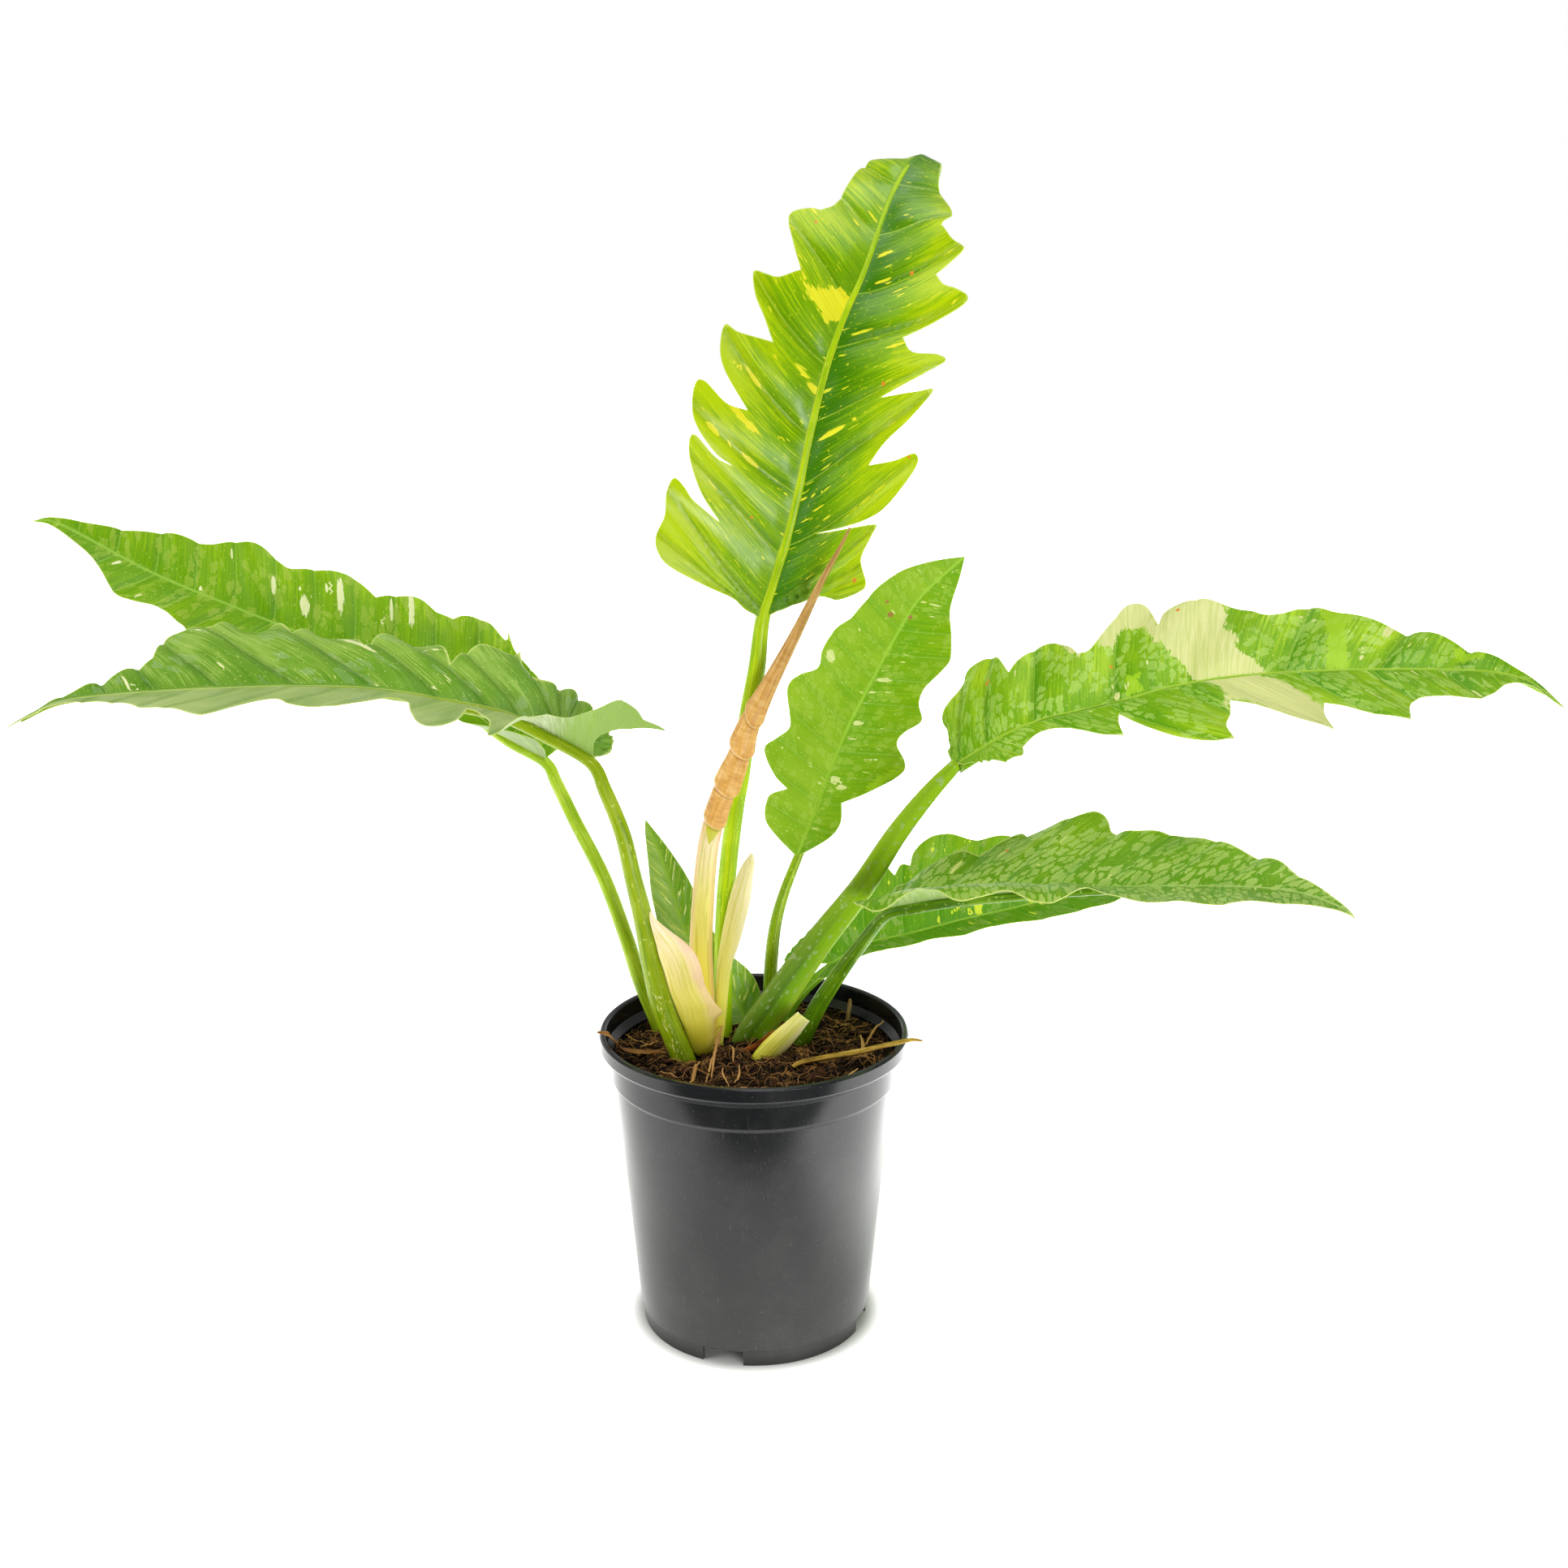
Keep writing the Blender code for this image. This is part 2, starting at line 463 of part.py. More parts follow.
def rib_points(blade, radius):
    """The raised midrib under the blade, thinning to the tip."""
    points = []
    count = max(3, round(blade.length / 45))
    for i in range(count + 1):
        along = blade.length * 0.93 * i / count
        centre, _, normal = blade.midrib_frame(along)
        size = radius * (1 - i / count) ** 0.8 * 0.8 + 0.7
        points.append((*(centre - normal * size * 0.45), size))
    return points


def make_leaf(name, leaf, parts, tools, seat, holes):
    """Blade, midrib and stalk as one body, seated on the stem."""
    blade = Blade(leaf)
    material = new_material(name, leaf["colour"], 0.38)
    item = new_object(name, blade_mesh(name, leaf, blade), parts, material)
    item.data.shade_smooth()
    shell = item.modifiers.new("Thickness", "SOLIDIFY")
    shell.thickness = BLADE_THICKNESS * MM
    shell.offset = 0
    if "stalk" in leaf:
        ribs = rib_points(blade, leaf["stalk"][-1][3])
        stalk = tube(name + "_stalk", leaf["stalk"][:-1] + ribs, tools)
        hole = tube(name + "_hole", leaf["stalk"][:4], holes, grow=FIT_GAP)
    else:
        stalk = loft(name + "_stalk", FLAT_STALK, tools)
        hole = loft(name + "_hole", FLAT_STALK[:3], holes, grow=FIT_GAP)
        rib = tube(name + "_rib", rib_points(blade, 3.4), tools)
        hide_as_cutter(rib)
        add_boolean(item, "UNION", rib)
    hide_as_cutter(stalk)
    hide_as_cutter(hole)
    add_boolean(item, "UNION", stalk)
    add_boolean(item, "DIFFERENCE", seat)
    return item


def make_sheath(name, sections, colour, parts, seat, holes, face=(0, -1, 0)):
    material = new_material(name, colour, 0.45)
    item = loft(name, sections, parts, material, face=face, step=10)
    hide_as_cutter(loft(name + "_hole", sections[:3], holes, grow=FIT_GAP, face=face, step=10))
    add_boolean(item, "DIFFERENCE", seat)
    return item


def make_stem(parts, tools, holes):
    """The creeping stem with its roots, one body."""
    stem = tube("stem_with_roots", STEM, parts, new_material("stem_with_roots", "#8A7B4A", 0.7), step=12)
    hide_as_cutter(tube("stem_hole", STEM, holes, grow=FIT_GAP, step=12))
    for number, root in enumerate(ROOTS):
        strand = tube(f"root_{number}", root, tools)
        hide_as_cutter(strand)
        add_boolean(stem, "UNION", strand)
        hide_as_cutter(tube(f"root_hole_{number}", root, holes, grow=FIT_GAP))
    return stem


def turned(name, profile, group, material, steps):
    """A turned solid: the profile of radius, height points runs down the outside and ends on the axis."""
    mesh = bpy.data.meshes.new(name)
    points = [(radius * MM, 0, height * MM) for radius, height in profile]
    mesh.from_pydata(points, [(i, i + 1) for i in range(len(points) - 1)], [])
    item = new_object(name, mesh, group, material)
    screw = item.modifiers.new("Turn", "SCREW")
    screw.steps = steps
    screw.render_steps = steps
    screw.use_merge_vertices = True
    screw.merge_threshold = 0.00001
    return item


def make_pot(parts, tools):
    """The thin-walled pot: rolled lip, stepped band, tapered wall, foot ring and drain slots."""
    lip_bottom = POT_HEIGHT - LIP_HEIGHT
    inner_lip = RIM_RADIUS - 3.5
    profile = [
        (0, FLOOR_TOP), (60.8, FLOOR_TOP), (62.2, FLOOR_TOP + 1.4),
        (WALL_TOP_RADIUS - WALL, BAND_BOTTOM - 2.4), (BAND_RADIUS - WALL, BAND_BOTTOM + 1.0),
        (BAND_RADIUS - WALL + 0.4, 153.4), (inner_lip, lip_bottom - 1.6), (inner_lip, POT_HEIGHT - 0.6),
        (inner_lip + 0.6, POT_HEIGHT), (RIM_RADIUS - 0.6, POT_HEIGHT), (RIM_RADIUS, POT_HEIGHT - 0.6),
        (RIM_RADIUS, lip_bottom + 1.0), (RIM_RADIUS - 1.6, lip_bottom - 1.0), (78.0, lip_bottom - 3.0),
        (BAND_RADIUS + 0.6, lip_bottom - 4.0), (BAND_RADIUS, BAND_BOTTOM),
        (BAND_RADIUS - 0.5, BAND_BOTTOM - 1.0), (WALL_TOP_RADIUS, BAND_BOTTOM - 2.6),
        (WALL_BOTTOM_RADIUS, FOOT_HEIGHT + 1.5), (62.7, FOOT_HEIGHT + 0.2),
        (FOOT_RADIUS + 0.5, FOOT_HEIGHT - 0.6), (FOOT_RADIUS, 0), (FOOT_RADIUS - 2.4, 0),
        (FOOT_RADIUS - 2.4, FOOT_HEIGHT), (0, FOOT_HEIGHT),
    ]
    pot = turned("nursery_pot", profile[::-1], parts, new_material("nursery_pot", "#33373A", 0.42), POT_STEPS)
    cutter = bmesh.new()
    for slot in range(DRAIN_SLOTS):
        angle = math.radians(DRAIN_FIRST_ANGLE + 360 / DRAIN_SLOTS * slot)
        made = bmesh.ops.create_cube(cutter, size=1.0)["verts"]
        bmesh.ops.scale(cutter, verts=made, vec=(26 * MM, DRAIN_WIDTH * MM, 2 * DRAIN_HEIGHT * MM))
        bmesh.ops.translate(cutter, verts=made, vec=(62 * MM, 0, 0))
        bmesh.ops.rotate(cutter, verts=made, cent=(0, 0, 0), matrix=Matrix.Rotation(angle, 3, "Z"))
    mesh = bpy.data.meshes.new("drain_slots")
    cutter.to_mesh(mesh)
    cutter.free()
    slots = new_object("drain_slots", mesh, tools)
    hide_as_cutter(slots)
    add_boolean(pot, "DIFFERENCE", slots)
    return pot


def soil_height(x, y):
    """Crumbly surface: a slight mound round the stalks and lumps of a few centimetres."""
    mound = 2.0 * math.exp(-((x + 8) ** 2 + (y - 10) ** 2) / 1400)
    coarse = math.sin(x / 6.1 + 1.3) * math.sin(y / 5.3 + 0.4)
    fine = math.sin((x + y) / 3.7) * math.cos((x - y) / 4.4)
    return mound + SOIL_LUMP * (0.6 * coarse + 0.36 * fine)


def make_soil(parts, holes):
    """Potting mix that fills the pot to below its lip, with plain holes for everything that stands in it."""
    side = [(BAND_RADIUS - WALL - 0.2, SOIL_LEVEL), (BAND_RADIUS - WALL - FIT_GAP, BAND_BOTTOM + 1.0),
            (WALL_TOP_RADIUS - WALL - FIT_GAP, BAND_BOTTOM - 2.4), (62.2 - FIT_GAP, FLOOR_TOP + 1.7),
            (60.8 - FIT_GAP, FLOOR_TOP + FIT_GAP), (0, FLOOR_TOP + FIT_GAP)]
    top = [(radius, SOIL_LEVEL) for radius in range(0, 74, 12)]
    item = turned("soil", top + side, parts, new_material("soil", "#3A281B", 0.95), SOIL_STEPS)
    evaluated = item.evaluated_get(bpy.context.evaluated_depsgraph_get())
    mesh = bpy.data.meshes.new_from_object(evaluated)
    item.modifiers.clear()
    item.data = mesh
    for vertex in mesh.vertices:
        x, y, z = vertex.co / MM
        if z > SOIL_LEVEL - 0.01 and math.hypot(x, y) < 74:
            vertex.co.z += soil_height(x, y) * MM
    add_boolean(item, "DIFFERENCE", holes)
    return item


def build():
    clear_scene()
    parts = new_collection("ring_of_fire_philodendron")
    tools = new_collection("shapes_joined_into_leaves")
    holes = new_collection("holes_in_the_soil")
    seat = tube("stem_seat", STEM, tools, grow=FIT_GAP, step=12)
    hide_as_cutter(seat)
    make_pot(parts, tools)
    make_stem(parts, tools, holes)
    for name, leaf in LEAVES.items():
        make_leaf(name, leaf, parts, tools, seat, holes)
    for name, sheath in SHEATHS.items():
        face = sheath.get("face", (0, -1, 0))
        make_sheath(name, sheath["sections"], sheath["colour"], parts, seat, holes, face)
    make_sheath("new_leaf_roll", NEW_LEAF, "#C68A52", parts, seat, holes)
    loose = [("sheath_dry_strip", DRY_STRIP, "#B4641E", (0, -1, 0)),
             ("dry_stalk", DRY_STALK, "#B8903A", (0, 0, 1)),
             ("dry_leaf_scrap", DRY_SCRAP, "#8A5C34", (0, 0, 1))]
    for name, sections, colour, face in loose:
        loft(name, sections, parts, new_material(name, colour, 0.6), face=face, step=10)
        hide_as_cutter(loft(name + "_hole", sections, holes, grow=FIT_GAP, face=face, step=10))
    tube("root_tip", ROOT_TIP, parts, new_material("root_tip", "#B89A6A", 0.7), step=8)
    hide_as_cutter(tube("root_tip_hole", ROOT_TIP, holes, grow=FIT_GAP, step=8))
    make_soil(parts, holes)


build()
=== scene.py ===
import math
import random
from functools import partial

import bmesh
import bpy
import numpy as np
from mathutils import Matrix, Vector, noise
from mathutils.geometry import delaunay_2d_cdt


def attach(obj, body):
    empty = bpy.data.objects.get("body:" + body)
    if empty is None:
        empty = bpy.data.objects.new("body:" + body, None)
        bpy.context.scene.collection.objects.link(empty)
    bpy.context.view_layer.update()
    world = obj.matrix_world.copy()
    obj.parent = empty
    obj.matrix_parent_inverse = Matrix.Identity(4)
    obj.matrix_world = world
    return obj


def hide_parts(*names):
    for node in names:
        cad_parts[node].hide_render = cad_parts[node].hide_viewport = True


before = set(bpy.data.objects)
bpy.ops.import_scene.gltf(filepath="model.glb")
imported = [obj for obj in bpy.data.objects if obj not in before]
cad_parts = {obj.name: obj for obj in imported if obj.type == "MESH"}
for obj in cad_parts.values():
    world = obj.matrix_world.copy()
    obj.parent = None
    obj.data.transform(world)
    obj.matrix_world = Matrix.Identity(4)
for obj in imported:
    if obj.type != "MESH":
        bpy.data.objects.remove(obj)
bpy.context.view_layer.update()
print("frame loaded with", len(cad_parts), "nodes")

mm = 0.001
millimetresPerMetre = (1000, 1000, 1000)


def linearColour(hexColour):
    channels = [int(hexColour[i:i + 2], 16) / 255 for i in (1, 3, 5)]
    return [c / 12.92 if c <= 0.04045 else ((c + 0.055) / 1.055) ** 2.4 for c in channels] + [1.0]


def setInputs(node, inputs):
    for key, value in inputs.items():
        if isinstance(value, bpy.types.NodeSocket):
            node.id_data.links.new(value, node.inputs[key])
        else:
            node.inputs[key].default_value = linearColour(value) if isinstance(value, str) else value


def addNode(tree, kind, inputs=(), stops=None, out=0, **settings):
    # Inputs are named, or listed in order: a map range lists its value, the range it comes from and
    # the one it goes to. It gives back the output asked for, or all of them for None.
    node = tree.nodes.new("ShaderNode" + kind)
    for key, value in settings.items():
        setattr(node, key, value)
    if stops:  # the stops of a colour ramp: position and either a hex colour or a grey value
        ramp = node.color_ramp
        while len(ramp.elements) < len(stops):
            ramp.elements.new(1.0)
        for element, (position, colour) in zip(ramp.elements, stops):
            element.position = position
            element.color = linearColour(colour) if isinstance(colour, str) else (colour, colour, colour, 1)
    setInputs(node, inputs if isinstance(inputs, dict) else dict(enumerate(inputs)))
    return node.outputs if out is None else node.outputs[out]


def newMaterial(name, roughness, ior=1.45, specular=0.5):
    material = bpy.data.materials.new(name)
    material.use_nodes = True
    setInputs(material.node_tree.nodes["Principled BSDF"],
              {"Roughness": roughness, "IOR": ior, "Specular IOR Level": specular})
    return material, partial(addNode, material.node_tree)


def finishMaterial(material, colour, layers, height, strength, distance, **more):
    # each layer is a share and a colour, laid over those before it; the relief follows the height
    add = partial(addNode, material.node_tree)
    for share, fill in layers:
        colour = add("Mix", {0: share, 6: colour, 7: fill}, out=2, data_type="RGBA")
    bump = add("Bump", {"Height": height, "Strength": strength, "Distance": distance})
    setInputs(material.node_tree.nodes["Principled BSDF"], {"Base Color": colour, "Normal": bump, **more})
    return material


def smoothPath(points, step):
    # points about one step apart on a Catmull-Rom curve; further numbers of each point go along
    knots = np.array(points, float)
    knots = np.vstack([2 * knots[0] - knots[1], knots, 2 * knots[-1] - knots[-2]])
    path = []
    for before, start, end, after in zip(knots, knots[1:], knots[2:], knots[3:]):
        count = max(1, round(np.linalg.norm((end - start)[:3]) / step))
        t = (np.arange(count) / count)[:, None]
        curve = (2 * start + (end - before) * t + (2 * before - 5 * start + 4 * end - after) * t ** 2
                 + (3 * start - before - 3 * end + after) * t ** 3)
        path.append(0.5 * curve)
    return np.vstack(path + [knots[-2:-1]])


def unit(vectors):
    return vectors / np.maximum(np.linalg.norm(vectors, axis=-1, keepdims=True), 1e-9)


def linkObject(name, data):
    item = bpy.data.objects.new(name, data)
    bpy.context.scene.collection.objects.link(item)
    return item


def makePiece(name, points, faces, materials, slotName, replaced, fields=None, faceMaterials=None,
              sharp=None):
    # points are in millimetres; fields are named numbers of each point that the materials read
    mesh = bpy.data.meshes.new(name)
    mesh.from_pydata(np.asarray(points) * mm, [], faces)
    for key, values in (fields or {}).items():
        values = np.asarray(values, np.float32)
        kind, slot = ("FLOAT_VECTOR", "vector") if values.ndim == 2 else ("FLOAT", "value")
        mesh.attributes.new(key, kind, "POINT").data.foreach_set(slot, values.ravel())
    mesh.update()
    mesh.shade_smooth()
    for material in materials:
        mesh.materials.append(material)
    if faceMaterials is not None:
        mesh.polygons.foreach_set("material_index", np.asarray(faceMaterials, np.int32))
    if sharp is not None:  # edges between two points that are both marked here stay crisp
        ends = np.zeros(len(mesh.edges) * 2, np.int32)
        mesh.edges.foreach_get("vertices", ends)
        marked = sharp[ends.reshape(-1, 2)]
        crisp = (marked[:, 0] > 0) & (marked[:, 0] == marked[:, 1])
        mesh.attributes.new("sharp_edge", "BOOLEAN", "EDGE").data.foreach_set("value", crisp)
    piece = linkObject(name, mesh)
    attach(piece, "root")
    if replaced:
        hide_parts(*replaced)
    return piece


def ovalRing(turn, width, thickness, reach):
    return width / 2 * np.cos(turn), thickness / 2 * np.sin(turn)


def tubeFaces(rows, sides):
    # quads between rings of points, and a cap at each end
    faces = []
    for k in range(rows - 1):
        for i in range(sides):
            j = (i + 1) % sides
            faces.append((k * sides + i, k * sides + j, (k + 1) * sides + j, (k + 1) * sides + i))
    return faces + [tuple(range(sides))[::-1], tuple(range((rows - 1) * sides, rows * sides))]


def sweep(sections, sides, step, ring=ovalRing, face=(0, -1, 0), level=False):
    # a closed skin through sections of x, y, z, width and thickness; "face" is square to the width.
    # It comes with "strand": each point's place on the straightened skin, across, deep and along.
    path = smoothPath(sections, step)
    centres = path[:, :3]
    tangents = unit(np.gradient(centres, axis=0))
    reach = np.append(0.0, np.cumsum(np.linalg.norm(np.diff(centres, axis=0), axis=1)))
    front = unit(np.array(face, float))
    side = unit(np.cross(tangents * (0, 0, 1) if level else tangents, front))
    turn = 2 * np.pi * np.arange(sides) / sides
    across, deep = ring(turn[None, :], path[:, 3:4], path[:, 4:5], reach[:, None])
    points = centres[:, None] + side[:, None] * across[..., None] + front * deep[..., None]
    strand = np.stack([across, deep, np.broadcast_to(reach[:, None], across.shape)], -1)
    return points.reshape(-1, 3), tubeFaces(len(path), sides), strand.reshape(-1, 3)


leafDetail = dict(
    marginStep=1.7,  # mm between points along the margin
    innerStep=2.1,  # mm between points inside the blade
    thickness=0.55,  # mm at mid-blade
    marginThickness=0.32,
    tipTurn=0.55,  # share of the midrib after which the blade turns to its tip's face
    waveHeight=1.6,  # mm at 40 mm from the midrib
    waveLength=46.0,
    veinBend=1.15,  # above 1, a side vein bends towards the tip
    crest=0.75,  # below 1, a pleat rises steeper on the side of the leaf's base
)
# what the leaves share, unless a leaf's own look says otherwise
leafLook = dict(
    # pleatShading paints shading on the pleats, each pleat lighter towards the tip
    specular=0.2, bump=0.3, fleckFrom=0.74, ribTone=0.9, streakTone=0.2, broadTone=0.3, pleatShading=0.06,
    ribShade=0.1, marginLight=0.12,  # darker along the midrib, lighter along the margin
    tipLight=None,  # where the lightening towards the tip starts and ends, and how much it is
    deepSide=1, sideShade=0.0,  # the half that turns from the light, and how much deeper it is
    # paintedSheen is a painted sheen on the half that deepSide names, with how much of it and from how far
    # along
    paintedSheen=None, sheenMix=0.0, sheenFrom=-60,
    # veinValleyShade is painted shade in the valley beside each side vein
    veinValleyShade=0.35, veinMix=0.5, dotMix=0.55, pale=None, paleLong=0.6, paleScale=0.2,
    lime="#A6D21C", scar="#E0901E", patchJag=9.0, ribLine=1.1, edgeWidth=0.6,
    under="#95AD6D", underDeep="#7E9A53", underBase=None,
    # stalkBandsAndLitSide colours a broad stalk across its width, with painted light on one side
    stalkSpread=0.13, stalkBandsAndLitSide=None, stalkLines=(), stalkTop=None, flecked=None,
    speckScale=0.7, speckFrom=0.66,
)


def flatMargin(points, length):
    # the rounded outline of one half, broken at each point marked as a cut
    knots = [(0.0, 0.0, "cut")] + [tuple(p) if len(p) == 3 else tuple(p) + ("",) for p in points]
    knots.append((length, 0.0, "cut"))
    breaks = [i for i, knot in enumerate(knots) if knot[2]]
    outline = []
    for first, last in zip(breaks, breaks[1:]):
        piece = smoothPath([knot[:2] for knot in knots[first:last + 1]], leafDetail["marginStep"])
        outline.extend(piece[:-1].tolist())
    return outline


def distanceInside(points, polygon):
    # millimetres from the polygon's edge, positive inside
    ends = np.roll(polygon, -1, axis=0)
    best = np.full(len(points), 1e9)
    inside = np.zeros(len(points), bool)
    x, y = points[:, 0], points[:, 1]
    for (x0, y0), (x1, y1), (ex, ey) in zip(polygon, ends, ends - polygon):
        if y0 != y1:
            inside ^= ((y0 > y) != (y1 > y)) & (x < x0 + (y - y0) * ex / (y1 - y0))
        t = np.clip(((x - x0) * ex + (y - y0) * ey) / max(ex * ex + ey * ey, 1e-9), 0, 1)
        best = np.minimum(best, np.hypot(x - x0 - t * ex, y - y0 - t * ey))
    return np.where(inside, best, -best)


def smoothStep(values, low, high):
    t = np.clip((values - low) / (high - low), 0, 1)
    return t * t * (3 - 2 * t)


def veinLines(leaf, side, length):
    # where each side vein leaves the midrib, and how far along it lies at 50 mm out
    gap = leaf["veinGap"]
    listed = leaf.get("leftVeins" if side < 0 else "rightVeins")
    if listed:
        starts, ends = np.array(listed, float).T
    else:
        starts = np.arange(2.0, length, gap)
        ends = starts + leaf["veinLean"] * (1 - np.exp(-(starts + 10) / 28))
    backs = np.arange(4, 0, -1)  # veins that fan back into the basal lobe
    more = gap * np.arange(1, 6)
    return (np.concatenate([starts[0] - 0.5 * backs, starts, starts[-1] + more]),
            np.concatenate([ends[0] - 19.0 * backs, ends, ends[-1] + more]))


def veinPlace(leaf, length, along, out):
    # the number of the side vein at each place, and the distance out from the midrib
    run = np.abs(out)
    number = np.zeros(len(along))
    for side in (-1, 1):
        here = out > 0 if side > 0 else out <= 0
        starts, ends = veinLines(leaf, side, length)
        share = (run[here] / 50) ** leafDetail["veinBend"]
        lines = starts[None] + (ends - starts)[None] * share[:, None]
        index = np.clip((lines <= along[here, None]).sum(1) - 1, 0, len(starts) - 2)
        rows = np.arange(len(index))
        low, high = lines[rows, index], lines[rows, index + 1]
        number[here] = index + (along[here] - low) / (high - low)
    return number, run


class Midrib:
    # carries a place in the flat blade, along the midrib and out from it, to its place in space

    def __init__(self, leaf):
        self.leaf = leaf
        self.line = smoothPath(leaf["midrib"], 4.0)
        self.reach = np.append(0.0, np.cumsum(np.linalg.norm(np.diff(self.line, axis=0), axis=1)))
        self.length = self.reach[-1]
        self.tangents = np.gradient(self.line, self.reach, axis=0)
        self.face = np.array(leaf["face"], float)
        self.tipFace = np.array(leaf.get("tipFace", leaf["face"]), float)

    def frameAt(self, along):
        inside = np.clip(along, 0, self.length)
        centre, tangent = (np.stack([np.interp(inside, self.reach, values[:, k]) for k in range(3)], -1)
                           for values in (self.line, self.tangents))
        tangent = unit(tangent)
        tipTurn = leafDetail["tipTurn"]
        turn = np.clip((along / self.length - tipTurn) / (1 - tipTurn), 0, 1)[:, None]
        face = self.face * (1 - turn) + self.tipFace * turn
        normal = unit(face - (face * tangent).sum(-1, keepdims=True) * tangent)
        return centre + tangent * (along - inside)[:, None], tangent, normal

    def points(self, along, out):
        leaf = self.leaf
        centre, tangent, normal = self.frameAt(along)
        side = np.where(out > 0, 1, -1)
        run = np.abs(out)
        across, lift = np.zeros(len(run)), np.zeros(len(run))
        parts = 20
        for k in range(parts):
            there = run * (k + 0.5) / parts
            angle = np.zeros(len(run))
            for half, key in ((-1, "leftFolds"), (1, "rightFolds")):
                # along the midrib, degrees of fold and, where listed, degrees more for each mm out
                at, folds, curls = np.array([(*fold, 0)[:3] for fold in leaf[key]], float).T
                bent = np.interp(along, at, folds) + np.interp(along, at, curls) * there
                angle = np.where(side == half, bent, angle)
            for at, spread, half, start, rate in leaf.get("curls", []):
                near = np.exp(-((along - at) / spread) ** 2) * (side == half)
                angle += near * rate * np.maximum(there - start, 0)
            for half, last, swing, wave, crest, start in leaf.get("ruffles", []):
                inside = smoothStep(-along, -last, 25 - last) * (side == half)
                inside = inside * smoothStep(there, start, start + 12)
                angle += swing * np.cos(2 * np.pi * (along - crest) / wave) * inside
            across += np.cos(np.radians(angle)) * run / parts
            lift += np.sin(np.radians(angle)) * run / parts
        waved = np.sin(2 * np.pi * (along - 0.6 * run) / leafDetail["waveLength"])
        lift += leafDetail["waveHeight"] * waved * (run / 40) ** 2
        number, _ = veinPlace(leaf, self.length, along, out)
        # 0 on a side vein, 1 on the crest between two
        between = np.sin(np.pi * (number % 1.0) ** leafDetail["crest"]) ** 0.8
        grown = smoothStep(run, 0, 10) * (0.55 + 0.45 * smoothStep(-run, -60, -20))
        fadeTip = smoothStep(self.length - along, 10, 60)
        lift += np.where(side < 0, *leaf["quilt"]) * (between - 0.5) * grown * fadeTip
        return centre + np.cross(tangent, normal) * (side * across)[:, None] + normal * lift[:, None]


def bladeSkin(leaf, rib):
    # the flat blade, cut into triangles along its margin and midrib
    left = [(-out, along) for along, out in flatMargin(leaf["left"], rib.length)]
    right = [(out, along) for along, out in flatMargin(leaf["right"], rib.length)]
    outline = np.array(left[:1] + right[1:] + [(0.0, rib.length)] + left[:0:-1])
    ring = len(outline)
    count = round(rib.length / 2.5)
    spine = np.array([(0.0, rib.length * i / count) for i in range(1, count)])
    step = leafDetail["innerStep"]
    low, high = outline.min(0), outline.max(0)
    rows = np.arange(low[1], high[1], step * math.sqrt(3) / 2)
    columns = np.arange(low[0], high[0], step)
    grid = np.array([(x + 0.5 * step * (k % 2), y) for k, y in enumerate(rows) for x in columns])
    grid = grid[(distanceInside(grid, outline) > step * 0.45) & (np.abs(grid[:, 0]) > step * 0.4)]
    flat = [Vector(p) for p in np.vstack([outline, spine, grid])]
    chain = [0] + list(range(ring, ring + len(spine))) + [len(right)]
    edges = [(i, (i + 1) % ring) for i in range(ring)] + list(zip(chain, chain[1:]))
    verts, _, faces, *_ = delaunay_2d_cdt(flat, edges, [], 1, 0.001)
    return np.array([tuple(v) for v in verts]), [tuple(f) for f in faces], outline


def outerLoop(faces):
    # the edges that only one face uses
    used = dict.fromkeys(edge for face in faces for edge in zip(face, face[1:] + face[:1]))
    return [(a, b) for a, b in used if (b, a) not in used]


def nearestMark(leaf, length, along, out, number, run):
    # place beside the nearest coloured fleck: across and along it in its own sizes, and the distance
    best = np.full((len(along), 3), 9.0)
    for at, off, size, width in leaf["marks"]:
        markNumber, markRun = veinPlace(leaf, length, np.array([float(at)]), np.array([float(off)]))
        u = (number - markNumber[0]) * leaf["veinGap"] / (width / 2)
        v = (run - markRun[0]) / (size / 2)
        far = np.where((out > 0) == (off > 0), np.hypot(u, v), 9.0)
        closer = far < best[:, 2]
        best[closer] = np.stack([u, v, far], -1)[closer]
    return np.minimum(best, 9.0)


def patchDepths(leaf, along, out):
    # depth inside cream sectors, lime sectors and scars
    depths = np.full((len(along), 3), -30.0)
    for column, key in enumerate(("patches", "limePatches", "scars")):
        for patch in leaf.get(key, []):
            if len(patch) > 2:
                depth = distanceInside(np.stack([along, out], -1), np.array(patch, float))
            else:  # a dot: its place, moved to the nearest point of the skin, and its radius
                (dotAlong, dotOut), radius = patch
                nearest = np.hypot(along - dotAlong, out - dotOut).argmin()
                depth = radius - np.hypot(along - along[nearest], out - out[nearest])
            depths[:, column] = np.maximum(depths[:, column], depth)
    return depths


def channelRing(turn, width, thickness, reach):
    # a stalk with a channel in front and two thin wings
    channel = np.clip(np.sin(turn), 0, 1) * (1 - np.abs(np.cos(turn)) ** 1.5)
    return width / 2 * np.cos(turn), thickness / 2 * np.sin(turn) - thickness * 0.35 * channel


